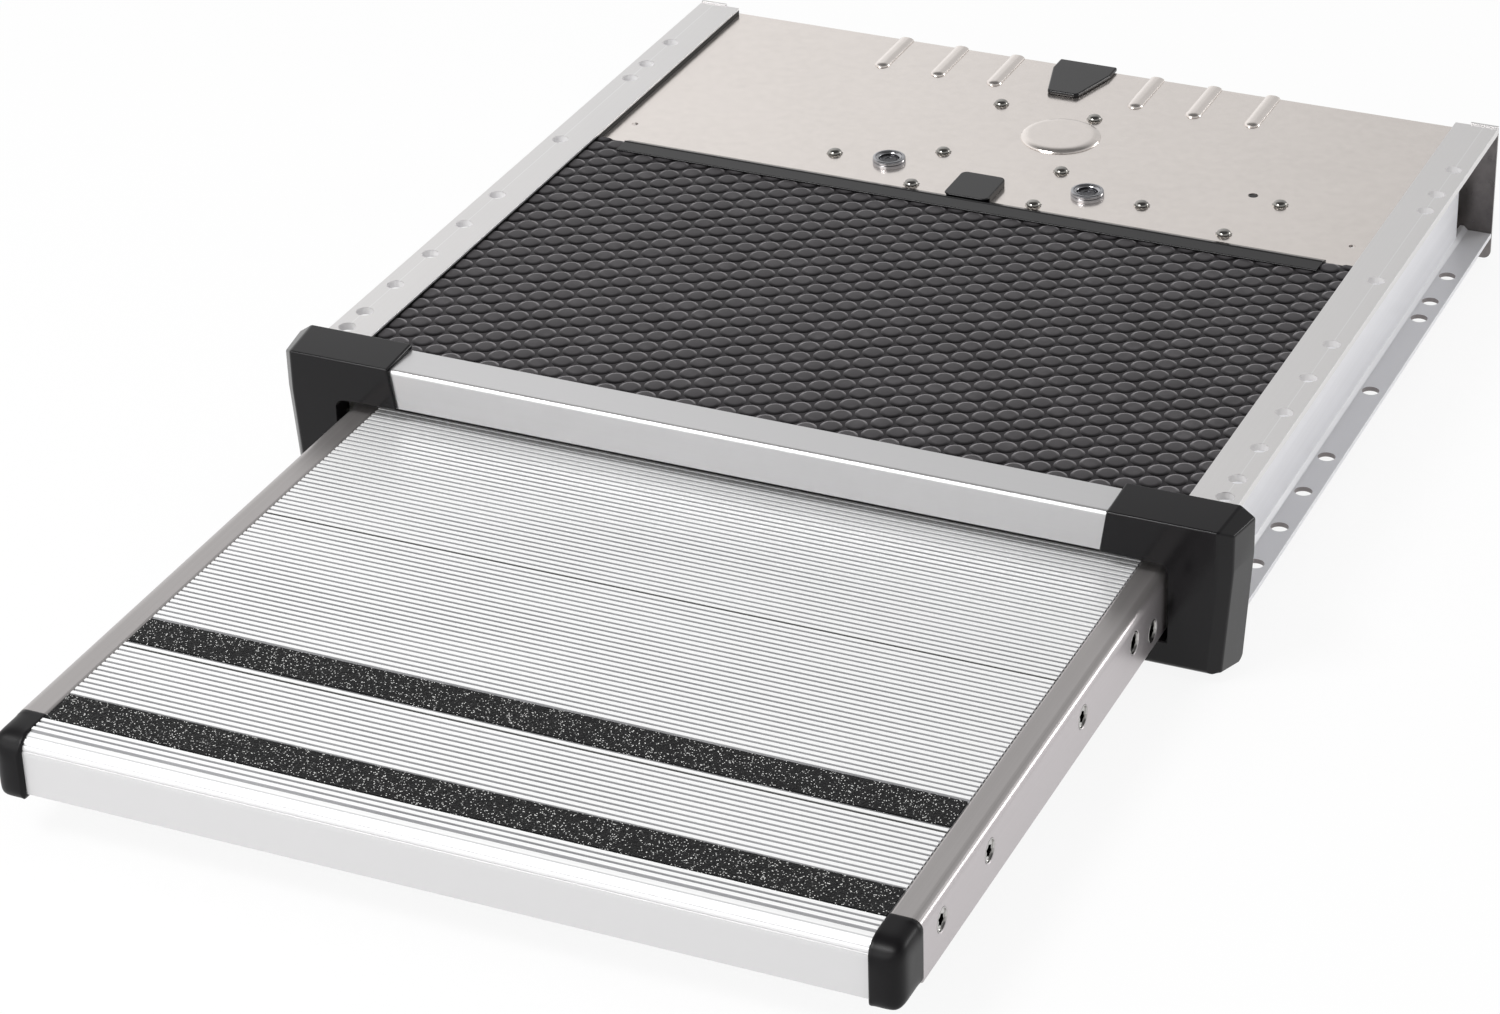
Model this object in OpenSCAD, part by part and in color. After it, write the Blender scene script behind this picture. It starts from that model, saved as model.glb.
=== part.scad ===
// Pull out step for a caravan: an aluminium step that slides out of a shallow cassette.
// The cassette bolts under the vehicle floor by the holes in its two side rails.
// Frame: X to the right, Y to the back, Z up. The step slides out towards -Y and is shown out.
// The origin is on the floor face (the rails' top), midway between the outermost floor bolts.

/* [Side rails] */
// Length of one side rail
rail_len = 462; // [440:1:520]
// Height of a side rail, from floor face to underside
rail_h = 66; // [64:0.5:72]
// Thickness of the top flange, against the vehicle floor
flange_t = 4; // [3:0.25:5]
// Thickness of the bottom flange
foot_t = 2.5; // [2:0.25:4]
// Thickness of the upright web
web_t = 2.5; // [2:0.25:4]
// How far the flanges stand out from the web
flange_out = 15.5; // [14:0.5:24]
// How far the top flange reaches in over the plate, from the web
flange_in = 6; // [4:0.25:7]
// Side of the small step at the foot of the web
foot_step = 2.2; // [1:0.1:3]
// How much of the web is cut away at its rear end
web_relief = 16; // [8:1:30]
// Diameter of the fixing holes
bolt_d = 9; // [8.5:0.25:11]
// Distance of the hole line from the flanges' outer edge
bolt_edge = 8; // [7:0.25:9]
// Distance of the rearmost fixing hole from the rail's rear end
bolt_rear = 59; // [40:1:80]
// Steps between the rear group's holes, from the rear inwards
bolt_rear_steps = [32, 21, 87];
// Distance of the foremost fixing hole from the rail's front end
bolt_front = 26; // [20:1:34]
// Steps between the front group's holes, from the front inwards
bolt_front_steps = [18, 32, 37.5, 37.5, 37.5];
// Width of the ledge that carries the plate
ledge_w = 5; // [3:0.25:6]
// Thickness of the ledges inside the rail
ledge_t = 2; // [1.5:0.25:3]
// Width of the upper track that holds the step down
track_w = 12; // [8:0.5:13]
// Width of the lower track that the step runs on
track_foot_w = 21; // [18:0.5:24]

/* [Plate and mat] */
// Thickness of the steel cover plate
plate_t = 1.5; // [1:0.25:2]
// Thickness of the rubber mat
mat_t = 1.8; // [1:0.1:2.4]
// Distance of the mat's rear edge from the rails' rear end
mat_back = 183.2; // [180:1:230]
// Width of the strip that holds the mat's rear edge
strip_d = 16.7; // [12:0.1:24]
// Length of the strip
strip_len = 397; // [380:1:410]
// How far the mat runs on behind the strip's front edge
strip_grip = 13.6; // [8:0.1:15]
// Height of the strip above the plate
strip_h = 2.8; // [2.5:0.1:3.4]
// Width of the strip's flat front band, up to its ridge
strip_flat = 10.3; // [8:0.1:12]
// Diameter of the pressed dome
dome_d = 44; // [30:1:60]
// Width of the dome's sloping edge
dome_edge = 5; // [3:0.5:8]
// Height of the pressed dome
dome_h = 1.9; // [1:0.1:3]
// Dome's offset to the right of the middle
dome_x = 18; // [0:1:30]
// Distance of the dome from the plate's rear edge
dome_back = 90; // [80:1:110]
// Number of pressed beads on each side of the rear clip
bead_n = 3; // [2:1:4]
// Length of a bead
bead_len = 41; // [25:1:60]
// Width of a bead
bead_w = 8.5; // [5:0.5:10]
// Height of a bead
bead_h = 1.8; // [1:0.1:2.5]
// Distance of the first bead from the middle
bead_first = 42; // [34:0.5:48]
// Step from one bead to the next
bead_step = 34; // [20:0.5:40]
// Diameter of the screw heads on the plate
head_d = 8; // [6:0.25:9]
// Height of the screw heads on the plate
head_h = 2.6; // [2:0.1:3.2]
// Diameter of the plate screws' shanks
shank_d = 4; // [3:0.25:5]
// Depth of the rear wall below the floor face
wall_h = 79; // [74:0.5:86]
// How far the rear wall's ears stand above the floor face
ear_rise = 0.8; // [0:0.1:1.5]
// Width of the lip that folds forward from the rear wall
lip_w = 12; // [8:1:20]

/* [Clips] */
// Rear width of the rear clip
rear_clip_w = 34; // [26:0.5:40]
// Front width of the rear clip
rear_clip_nose_w = 19; // [12:0.5:24]
// Length of the rear clip
rear_clip_len = 43; // [30:0.5:50]
// Width of the front clip
front_clip_w = 25; // [18:0.5:34]
// Length of the front clip
front_clip_len = 29; // [24:0.5:36]
// Thickness of both clips
clip_t = 2.6; // [2:0.1:3.4]

/* [Front beam and end caps] */
// Depth of the front beam
beam_d = 23; // [18:0.5:28]
// Height of the front beam
beam_h = 20.5; // [18:0.25:24]
// How far the beam stands above the floor face
beam_rise = 2.5; // [1:0.25:3.5]
// Wall of the beam
beam_wall = 2; // [1.5:0.25:3]
// Radius of the beam's front top edge
beam_r = 2.5; // [1.5:0.25:4]
// Depth of an end cap, front to back
cap_d = 26.5; // [22:0.5:34]
// How far an end cap reaches in front of the rail's end
cap_nose = 13.5; // [10:0.5:18]
// How far an end cap stands out past the rails
cap_side = 8; // [5:0.25:12]
// How far an end cap stands above the floor face
cap_rise = 5.5; // [5:0.25:8]
// Fall of the cap's top from back to front
cap_fall = 1.6; // [0:0.1:2.4]
// Depth of the cap's underside below the floor face
cap_drop = 73.5; // [70:0.5:78]
// Length of the cap's arm over the beam's end
arm_cover = 28; // [20:0.5:40]
// How far the arm's end leans inwards towards its bottom edge
arm_lean = 3.5; // [0:0.25:6]
// Width of the cap's corner facet
cap_facet = 6; // [3:0.5:7]
// How far the cap's side flares out towards the back
cap_flare = 3.5; // [0:0.25:5]
// How far the cap's outer side leans in towards its bottom
cap_lean = 4; // [0:0.5:6]
// Width of the bevel on the cap's outer top edge
cap_bevel_w = 5; // [2:0.25:6]
// Height of the bevel on the cap's outer top edge
cap_bevel_h = 3.6; // [2:0.1:5]
// How much lower the cap's underside lies at the back
cap_heel = 3.5; // [0:0.5:4]
// Radius of the cap's mouth above the side tube
mouth_r = 5; // [2:0.25:7]
// Radius of the cap's bottom corners
cap_round = 4; // [2:0.5:8]
// Thickness of the wiper under the beam
wiper_t = 2; // [1:0.25:3]

/* [Sliding step] */
// Width of the ribbed tread between the side tubes
tread_w = 400; // [350:1:700]
// Depth of the tread's top below the floor face
tread_drop = 26; // [25.5:0.25:28]
// How far the step slides
travel = 285; // [250:1:290]
// Gap between the closed step's corners and the end caps
close_gap = 3.5; // [2:0.25:8]
// Width of a side tube
tube_w = 15; // [13:0.5:18]
// Height of a side tube
tube_h = 31.5; // [29:0.5:32.5]
// Wall of a side tube
tube_wall = 2.5; // [2:0.25:3]
// Radius of the side tube's outer top edge
tube_r = 5; // [3:0.25:6]
// Radius of the side tube's other outer edges
tube_edge_r = 1.5; // [0.5:0.25:2]
// Gap between a side tube and the rail's web
guide_gap = 6; // [5:0.25:9]
// Spacing of the ribs on the tread
rib_pitch = 3.65; // [3:0.05:5]
// Width of a rib
rib_w = 2.3; // [1.5:0.1:2.6]
// Height of a rib
rib_h = 0.9; // [0.5:0.05:1.2]
// Thickness of the tread's skin below the ribs
skin_t = 2; // [1.5:0.25:3]
// Depth of the nosing plank
nosing_d = 83.5; // [76:0.5:92]
// Radius of the nosing
nose_r = 8; // [5:0.5:10]
// How far the nosing's front ends above the side tubes' underside
nosing_lift = 2.8; // [1:0.1:5]
// Width of the ribs under the planks
stem_t = 2; // [1.5:0.25:3]
// Height of the planks
plank_h = 24; // [20:0.5:28]
// Width of a grit strip
grit_w = 20.2; // [15:0.1:24]
// Thickness of a grit strip
grit_t = 1.05; // [0.8:0.05:1.3]
// Distance of the front grit strip from the nose
grit_front = 19.3; // [17:0.1:22]
// Distance between the grit strips
grit_gap = 48.5; // [46:0.1:56]
// Front-to-back length of a corner cap
corner_d = 21.5; // [18:0.5:26]
// How far a corner cap stands proud of the nose
corner_proud = 3; // [1:0.25:4]
// How far a corner cap hangs below the side tube
corner_hang = 1.2; // [0.5:0.1:3]
// Radius of a corner cap in plan
corner_r = 8; // [6:0.5:12]
// Diameter of the countersunk heads in the side tubes
csk_d = 12; // [10:0.5:13]
// Diameter of the side screws' shanks
side_shank_d = 5; // [4:0.25:5.5]
// Length of a side screw
side_screw_len = 32; // [26:1:40]
// Depth of the side screws below the tread's top
port_drop = 13; // [11:0.5:15]
// Extra depth of the middle plank's rear side screw
port_low = 8; // [4:0.5:9]
// Distance of the nosing's side screw from the nose
nosing_screw = 41.7; // [36:0.1:50]
// Distance of the front plank's first side screw from its front edge
front_screw = 11.5; // [9:0.1:20]
// Distance of the front plank's second side screw from its rear edge
front_screw_end = 4.75; // [4.6:0.05:12]
// Distance of the middle plank's side screws from its front edge
middle_screw = 61.75; // [50:0.25:70]
// Spacing of the middle plank's side screws
middle_screw_step = 24.8; // [15:0.1:30]
// Distance of the rear plank's side screw from its front edge
rear_screw = 63.5; // [50:0.5:76]

/* [Linkage] */
// Distance of the two pivots from the middle
pivot_x = 57; // [50:0.5:62]
// Distance of the pivots from the rail's rear end
pivot_back = 151.5; // [150:0.5:156]
// Length of an arm between its pins
arm_len = 140; // [136:0.5:143]
// Width of an arm
arm_w = 22; // [18:0.5:24]
// Thickness of an arm
arm_t = 4; // [3:0.25:4.5]
// Outer diameter of the pivot bush
bush_d = 16; // [12:0.5:18]
// Bore of the pivot bush
bush_bore = 11; // [6:0.5:12]
// Diameter of the bush's collar above the plate
collar_d = 18; // [17:0.5:22]
// Height of the bush's collar above the plate
collar_h = 3; // [2:0.25:3.5]
// Thickness of the housings and backing plates under the cover plate
housing_t = 3; // [2:0.25:3.5]
// Distance of the three housing screws from the pivot
housing_r = 31.3; // [27:0.5:34]
// Diameter of the elbow and step pins
pin_d = 8; // [6:0.5:9]
// Width of the cross bar at the step's rear end
bar_d = 26; // [22:0.5:28]
// Depth of the cross bar's top below the floor face
bar_drop = 22; // [22:0.25:24]
// Wall of the cross bar
bar_wall = 2.5; // [2:0.25:3]
// Least length of a rear buffer
buffer_len = 7; // [5:0.5:12]
// Radius of a rear buffer's foot
buffer_r = 9; // [6:0.5:12]
// Length of a glide shoe
shoe_len = 34; // [24:1:40]
// Length of a front pad
pad_len = 46; // [30:1:60]

/* [Hidden] */
$fn = 48;

// Clearances
seat_gap = 0.3;     // between pieces that slide or seat past each other
press_gap = 0.05;   // radial, between a pin and its bore
sheet_gap = 0.2;    // between a sheet and the groove that holds it
pad_gap = 1;        // between a sliding piece's inner side and the step's planks
least_r = 0.2;      // smallest radius left on an inner edge
ear_rim = 3;        // rim of an ear around a screw head
cut = 1;            // how far a cutting shape runs past the face it cuts

// Colours
STEEL = [0.80, 0.78, 0.76];
RAIL = [0.80, 0.80, 0.80];
BRIGHT = [0.88, 0.88, 0.88];
SATIN = [0.66, 0.64, 0.63];
BLACK = [0.12, 0.12, 0.13];
RUBBER = [0.22, 0.22, 0.23];
GRIT = [0.16, 0.16, 0.17];
NYLON = [0.85, 0.85, 0.80];
DARK_STEEL = [0.45, 0.45, 0.46];

// Places across, from the middle outwards
tread_x = tread_w / 2;
tube_x = tread_x + tube_w;
web_x = tube_x + guide_gap;
web_out = web_x + web_t;
rail_x = web_out + flange_out;
bolt_x = rail_x - bolt_edge;
cap_x = rail_x + cap_side;
flange_x = web_x - flange_in;
beam_x = flange_x - seat_gap;
arm_in_x = flange_x - arm_cover;
mouth_x = tube_x + guide_gap * 0.4;
corner_out = tube_x + seat_gap;

// Places along, with the origin midway between the outermost floor bolts
function total(v, n) = n == 0 ? 0 : v[n - 1] + total(v, n - 1);
rear_y = (rail_len + bolt_rear - bolt_front) / 2;
rail_front_y = rear_y - rail_len;
bolt_places = concat([for (i = [0:len(bolt_rear_steps)]) rear_y - bolt_rear - total(bolt_rear_steps, i)],
    [for (i = [0:len(bolt_front_steps)]) rail_front_y + bolt_front + total(bolt_front_steps, i)]);
cap_front_y = rail_front_y - cap_nose;
cap_rear_y = cap_front_y + cap_d;
beam_front_y = cap_front_y + beam_wall;
beam_rear_y = beam_front_y + beam_d;
plate_front_y = beam_rear_y + seat_gap;
wall_y = rear_y + plate_t;
mat_rear_y = rear_y - mat_back;
strip_front_y = mat_rear_y - strip_grip;
strip_rear_y = strip_front_y + strip_d;
pivot_y = rear_y - pivot_back;
corner_rear_y = cap_front_y - close_gap - travel;
nose_y = corner_rear_y - corner_d;
plank_room = (rear_y - buffer_len - seat_gap - bar_d - nosing_d + corner_d - cap_front_y + close_gap) / 3;
plank_d = floor(plank_room / rib_pitch) * rib_pitch;
front_plank_y = nose_y + nosing_d;
middle_plank_y = front_plank_y + plank_d;
rear_plank_y = middle_plank_y + plank_d;
bar_front_y = rear_plank_y + plank_d;
bar_y = bar_front_y + bar_d / 2;
bar_rear_y = bar_front_y + bar_d;
grit_front_y = nose_y + grit_front;
grit_rear_y = grit_front_y + grit_w + grit_gap;

// Heights, all below the floor face
plate_z = -flange_t;
under_z = plate_z - plate_t;
track_z = -rail_h + foot_t;
tread_z = -tread_drop;
land_z = tread_z - rib_h;
tube_z = tread_z - tube_h;
beam_z = beam_rise - beam_h;
cap_arm_z = beam_z - seat_gap;
cap_foot_z = tube_z - corner_hang - 2 * seat_gap;
hold_room = 1.3;
hold_z = tread_z + 3 * seat_gap + hold_room * ledge_t;
housing_z = under_z - housing_t;
upper_arm_z = housing_z - seat_gap - arm_t;
ring_t = 1.2;
forearm_z = upper_arm_z - ring_t - 3 * seat_gap - arm_t;
bar_z = -bar_drop;
port_z = tread_z - port_drop;
port_wall = 1.9;

// The knee of each arm pair: both arms turn by the same angle, in opposite senses
out_reach = pivot_y - bar_y;
in_reach = travel - out_reach;
knee_out = asin(out_reach / (2 * arm_len));
knee_in = asin(in_reach / (2 * arm_len));
elbow = [pivot_x + arm_len * cos(knee_out), pivot_y - arm_len * sin(knee_out)];
step_pin = [pivot_x, bar_y];

// The arms turn at a steady rate as the step slides, so the pin wanders a little in its slot
function pin_lag(s) = let (t = s / travel, knee = knee_out - t * (knee_out + knee_in))
    (out_reach - s) - 2 * arm_len * sin(knee);
lags = [for (i = [0:20]) pin_lag(travel * i / 20)];
slot_back = max(lags) + seat_gap;
slot_front = -min(lags) + seat_gap;

// Screw places
screw_rows = [nosing_screw, nosing_d + front_screw, nosing_d + plank_d - front_screw_end,
    nosing_d + plank_d + middle_screw, nosing_d + plank_d + middle_screw + middle_screw_step,
    nosing_d + 2 * plank_d + rear_screw];
housing_angles = [-3, 137, -135];
rear_screw_x = 27.5;
rear_screw_back = 61;
side_screws = [[web_x - 65, 126], [web_x - 81.5, 169.6]];
side_hole = [web_x - 82, 120];
side_hole_d = 5.4;
pierce_x = web_x - 15.3;
pierce_back = 158.5;
pierce_d = 3.5;

function arc(c, r, a0, a1, n = 8) =
    [for (i = [0:n]) let (a = a0 + (a1 - a0) * i / n) c + r * [cos(a), sin(a)]];

// Extrudes a (y, z) outline along X
module along_x(x0, x1) {
    translate([x0, 0, 0]) rotate([90, 0, 90]) linear_extrude(x1 - x0) children();
}

// Extrudes an (x, z) outline along Y
module along_y(y0, y1) {
    translate([0, y1, 0]) rotate([90, 0, 0]) linear_extrude(y1 - y0) children();
}

// Extrudes an (x, y) outline along Z
module along_z(z0, z1) {
    translate([0, 0, z0]) linear_extrude(z1 - z0) children();
}

// A bar in plan between two points, with round ends
module link(a, b, w) {
    turn = atan2(b[1] - a[1], b[0] - a[0]);
    polygon(concat(arc(b, w / 2, turn - 90, turn + 90, 16), arc(a, w / 2, turn + 90, turn + 270, 16)));
}

module hole_z(p, d, z0, z1) {
    translate([p[0], p[1], z0 - cut]) cylinder(d = d, h = z1 - z0 + 2 * cut);
}

// Right-hand rail. The web stands between an outward top flange and foot.
module rail() {
    color(RAIL) difference() {
        union() {
            along_y(rail_front_y, rear_y) polygon([
                [flange_x, -flange_t], [flange_x, 0], [rail_x, 0], [rail_x, -flange_t],
                [web_out, -flange_t], [web_out, track_z + foot_step], [web_out + foot_step, track_z],
                [rail_x, track_z], [rail_x, -rail_h], [web_x - track_foot_w, -rail_h],
                [web_x - track_foot_w, track_z], [web_x, track_z], [web_x, -flange_t]]);
            along_y(plate_front_y, rear_y) polygon([
                [web_x - ledge_w, under_z - sheet_gap], [web_out, under_z - sheet_gap],
                [web_out, under_z - sheet_gap - ledge_t], [web_x - ledge_w, under_z - sheet_gap - ledge_t]]);
            along_y(plate_front_y, rear_y - web_relief) polygon([
                [web_x - track_w, hold_z], [web_out, hold_z],
                [web_out, hold_z + ledge_t], [web_x - track_w, hold_z + ledge_t]]);
        }
        translate([web_x - ledge_w - cut, rear_y - web_relief, track_z + foot_step])
            cube([ledge_w + web_t + 2 * cut, web_relief + cut, -flange_t - track_z - foot_step]);
        for (y = bolt_places) hole_z([bolt_x, y], bolt_d, -rail_h, 0);
    }
}

module plate_holes(d) {
    for (m = [0, 1]) mirror([m, 0, 0]) {
        for (a = housing_angles)
            hole_z([pivot_x + housing_r * cos(a), pivot_y + housing_r * sin(a)], d, housing_z, plate_z);
        hole_z([rear_screw_x, rear_y - rear_screw_back], d, housing_z, plate_z);
    }
    for (p = side_screws) hole_z([p[0], rear_y - p[1]], d, housing_z, plate_z);
}

module top_plate() {
    plate_x = web_x - seat_gap;
    color(STEEL) difference() {
        union() {
            translate([-plate_x, plate_front_y, under_z])
                cube([2 * plate_x, wall_y - plate_front_y, plate_t]);
            dome(plate_z);
            for (m = [0, 1], i = [0:bead_n - 1]) mirror([m, 0, 0]) bead(bead_first + i * bead_step);
        }
        dome(under_z);
        for (m = [0, 1]) mirror([m, 0, 0]) {
            hole_z([pivot_x, pivot_y], bush_d + 2 * press_gap, under_z, plate_z);
            hole_z([pierce_x, rear_y - pierce_back], pierce_d, under_z, plate_z);
        }
        hole_z([side_hole[0], rear_y - side_hole[1]], side_hole_d, under_z, plate_z);
        plate_holes(shank_d + 2 * press_gap);
    }
}

// Half the section of a pressing: flat out to r0, then a round shoulder down to r1
function swell(r0, r1, h) = concat([[0, -plate_t / 2], [0, h]],
    [for (a = [0:11.25:90]) [r0 + (r1 - r0) * sin(a), h * cos(a)]], [[r1, -plate_t / 2]]);

module dome(z) {
    translate([dome_x, wall_y - dome_back, z])
        rotate_extrude() polygon(swell(dome_d / 2 - dome_edge, dome_d / 2, dome_h));
}

// A bead pressed up out of the sheet, with a round front end
module bead(x) {
    half = swell(bead_w / 16, bead_w / 2, bead_h);
    run = bead_len - bead_w / 2;
    translate([x, wall_y - run, plate_z]) {
        rotate_extrude() polygon(half);
        along_y(0, run) {
            polygon(half);
            mirror([1, 0]) polygon(half);
        }
    }
}

// Rear wall: closes the rails' ends, with a lip under the plate
module rear_wall() {
    corner = 4;
    color(STEEL) {
        along_y(rear_y, wall_y) polygon(concat(
            arc([rail_x - corner, -wall_h + corner], corner, -90, 0),
            [[rail_x, ear_rise], [web_out, ear_rise], [web_out, under_z], [-web_out, under_z],
                [-web_out, ear_rise], [-rail_x, ear_rise]],
            arc([-rail_x + corner, -wall_h + corner], corner, 180, 270)));
        translate([-flange_x + ledge_w, rear_y - lip_w, under_z - plate_t])
            cube([2 * (flange_x - ledge_w), lip_w, plate_t]);
    }
}

module cover_mat() {
    color(RUBBER) translate([-flange_x + sheet_gap, plate_front_y, plate_z])
        cube([2 * (flange_x - sheet_gap), mat_rear_y - plate_front_y, mat_t]);
}

// Strip over the mat's rear edge: a channel open to the front, with a ribbed back
module mat_strip() {
    top = plate_z + strip_h;
    ridge_y = strip_front_y + strip_flat;
    ridge_h = 0.4;
    edge = 0.6;
    color(BLACK) along_x(-strip_len / 2, strip_len / 2) polygon(concat(
        [[strip_front_y, plate_z + mat_t], [strip_front_y, top - edge]],
        arc([strip_front_y + edge, top - edge], edge, 180, 90, 4),
        [[ridge_y - ridge_h, top]],
        arc([ridge_y + ridge_h, top], ridge_h, 180, 0, 6),
        [[strip_rear_y - edge, plate_z + 2 * edge], [strip_rear_y, plate_z + edge], [strip_rear_y, plate_z],
        [mat_rear_y + sheet_gap, plate_z], [mat_rear_y + sheet_gap, plate_z + mat_t]]));
}

// Locating clip at the rear edge, wider towards the back, hooked over the edge
module rear_clip() {
    r = 3;
    hook = 9;
    w = rear_clip_w / 2;
    n = rear_clip_nose_w / 2;
    y1 = wall_y + clip_t;
    y0 = y1 - rear_clip_len;
    shoulder_y = y1 - 4 * r;
    color(BLACK) {
        along_z(plate_z, plate_z + clip_t) polygon(concat(
            [[w, y1]], arc([w - r, shoulder_y], r, 0, -20), arc([n - r, y0 + r], r, -20, -90),
            arc([-n + r, y0 + r], r, -90, -160), arc([-w + r, shoulder_y], r, -160, -180), [[-w, y1]]));
        translate([-w + r, wall_y, plate_z - hook]) cube([2 * (w - r), clip_t, hook]);
    }
}

// Locating clip that bridges the strip and the plate
module front_clip() {
    r = 3.5;
    w = front_clip_w / 2;
    y0 = strip_rear_y - r - 2 * seat_gap;
    y1 = y0 + front_clip_len;
    low = plate_z + strip_h;
    top = low + clip_t * 0.4;
    color(BLACK) {
        along_z(low, top) polygon(concat(arc([w - r, y0 + r], r, -90, 0), [[w, strip_rear_y + seat_gap],
            [-w, strip_rear_y + seat_gap]], arc([-w + r, y0 + r], r, 180, 270)));
        along_z(plate_z, top) polygon(concat([[-w, strip_rear_y + seat_gap], [w, strip_rear_y + seat_gap]],
            arc([w - r, y1 - r], r, 0, 90), arc([-w + r, y1 - r], r, 90, 180)));
    }
}

// Hollow front beam with a lip that carries the plate's front edge
module front_beam() {
    lip = 12;
    inner_r = beam_r - beam_wall / 2;
    front = beam_front_y + beam_wall;
    rear = beam_rear_y - beam_wall;
    top = beam_rise - beam_wall;
    color(BRIGHT) along_x(-beam_x, beam_x) difference() {
        union() {
            polygon(concat([[beam_front_y, beam_z], [beam_rear_y, beam_z], [beam_rear_y, beam_rise]],
                arc([beam_front_y + beam_r, beam_rise - beam_r], beam_r, 90, 180)));
            translate([beam_rear_y - cut, under_z - beam_wall]) square([lip + cut, beam_wall]);
        }
        polygon(concat([[front, beam_z + beam_wall], [rear, beam_z + beam_wall], [rear, top]],
            arc([front + inner_r, top - inner_r], inner_r, 90, 180)));
    }
}

module beam_wiper() {
    y = beam_front_y + beam_d / 2;
    color(RUBBER) {
        along_x(-tread_x, tread_x) polygon([
            [y - 2 * wiper_t, beam_z], [y + 2 * wiper_t, beam_z], [y + 2 * wiper_t, beam_z - wiper_t],
            [y + wiper_t / 2, beam_z - wiper_t], [y + wiper_t / 2, tread_z + seat_gap],
            [y - wiper_t / 2, tread_z + seat_gap], [y - wiper_t / 2, beam_z - wiper_t],
            [y - 2 * wiper_t, beam_z - wiper_t]]);
    }
}

// Right-hand end cap: the meeting of its front and side outlines and its two outer faces, hollowed for
// the rail and the beam
module end_cap() {
    inner = arm_in_x - arm_lean - cut;
    outer = cap_x + cap_flare + cut;
    flare = atan2(cap_flare, cap_d - cap_facet);
    heel_z = -cap_drop - cap_heel;
    heel = atan2(cap_heel, cap_d);
    color(BLACK) difference() {
        intersection() {
            along_y(cap_front_y, cap_rear_y) polygon(concat(
                [[arm_in_x, cap_rise], [arm_in_x - arm_lean, cap_arm_z], [mouth_x - mouth_r, cap_arm_z]],
                arc([mouth_x - mouth_r, cap_arm_z - mouth_r], mouth_r, 90, 0, 6),
                [[mouth_x, cap_foot_z], [tread_x - cut, cap_foot_z], [tread_x - cut, heel_z],
                [outer, heel_z], [outer, cap_rise]]));
            along_x(inner, outer) polygon(concat(
                [[cap_rear_y, cap_rise], [cap_front_y, cap_rise - cap_fall]],
                arc([cap_front_y + cap_round, -cap_drop + cap_round], cap_round, 180, 270 - heel, 6),
                arc([cap_rear_y - cap_round, heel_z + cap_round], cap_round, -90 - heel, 0, 6)));
            cap_face(cap_x, cap_front_y + cap_facet, flare, cap_bevel_w, cap_lean);
            cap_face(cap_x - cap_facet, cap_front_y, 45, 0, cap_lean * 0.7);
        }
        translate([flange_x - seat_gap - cut, rail_front_y - seat_gap, -rail_h - seat_gap])
            cube([rail_x + 2 * seat_gap - flange_x + cut, cap_d, rail_h + 2 * seat_gap]);
        translate([tread_x - 2 * cut, rail_front_y - seat_gap, -rail_h - seat_gap])
            cube([rail_x - tread_x, cap_d, rail_h + seat_gap + cap_arm_z]);
        translate([inner - cut, beam_front_y, cap_arm_z - cut])
            cube([beam_x + seat_gap - inner + cut, cap_d, beam_rise - cap_arm_z + cut]);
    }
}

// What one outer face of a cap leaves: it stands at (x, y), turned in plan, bevelled above and leaning below
module cap_face(x, y, turn, bevel, lean) {
    far = 4 * cap_drop;
    bend_z = -cap_drop / 4;
    bevel_z = cap_rise - cap_fall - cap_bevel_h;
    translate([x, y, 0]) rotate([0, 0, -turn]) along_y(-far, far) polygon([
        [-far, -far], [-lean * (far + bend_z) / (cap_drop + bend_z), -far], [0, bend_z], [0, bevel_z],
        [-3 * bevel, bevel_z + 3 * cap_bevel_h], [-far, bevel_z + 3 * cap_bevel_h]]);
}

// A low domed head with its shank, standing on the plate
module plate_screw(p) {
    r = (head_d * head_d / 4 + head_h * head_h) / (2 * head_h);
    translate([p[0], p[1], plate_z]) {
        intersection() {
            translate([0, 0, head_h - r]) sphere(r = r);
            cylinder(d = head_d, h = head_h);
        }
        translate([0, 0, housing_z - plate_z]) cylinder(d = shank_d, h = plate_z - housing_z + head_h / 2);
    }
}

module plate_screws() {
    color(DARK_STEEL) {
        for (m = [0, 1]) mirror([m, 0, 0]) {
            for (a = housing_angles)
                plate_screw([pivot_x + housing_r * cos(a), pivot_y + housing_r * sin(a)]);
            plate_screw([rear_screw_x, rear_y - rear_screw_back]);
        }
        for (p = side_screws) plate_screw([p[0], rear_y - p[1]]);
    }
}

// Pivot bush: a collar above the plate, a shank down through the arm, and a ring under the arm
module pivot_bush() {
    low = upper_arm_z - seat_gap / 2 - ring_t;
    top = plate_z + collar_h;
    ring_r = bush_d / 2 + 2;
    edge = 1;
    bore_edge = 0.8;
    color(STEEL) translate([pivot_x, pivot_y, 0]) rotate_extrude() polygon([
        [bush_bore / 2, low], [ring_r, low], [ring_r, low + ring_t], [bush_d / 2, low + ring_t],
        [bush_d / 2, plate_z], [collar_d / 2, plate_z], [collar_d / 2, top - edge],
        [collar_d / 2 - edge, top], [bush_bore / 2 + bore_edge, top], [bush_bore / 2, top - bore_edge]]);
}

// Housing under the plate, with three ears for the screws
module pivot_housing() {
    hub_wall = 8;
    color(DARK_STEEL) difference() {
        along_z(housing_z, under_z) translate([pivot_x, pivot_y]) {
            circle(d = bush_d + 2 * hub_wall);
            for (a = housing_angles) link([0, 0], housing_r * [cos(a), sin(a)], head_d + 2 * ear_rim);
        }
        hole_z([pivot_x, pivot_y], bush_d + 2 * press_gap, housing_z, under_z);
        plate_holes(shank_d + 2 * press_gap);
    }
}

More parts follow.
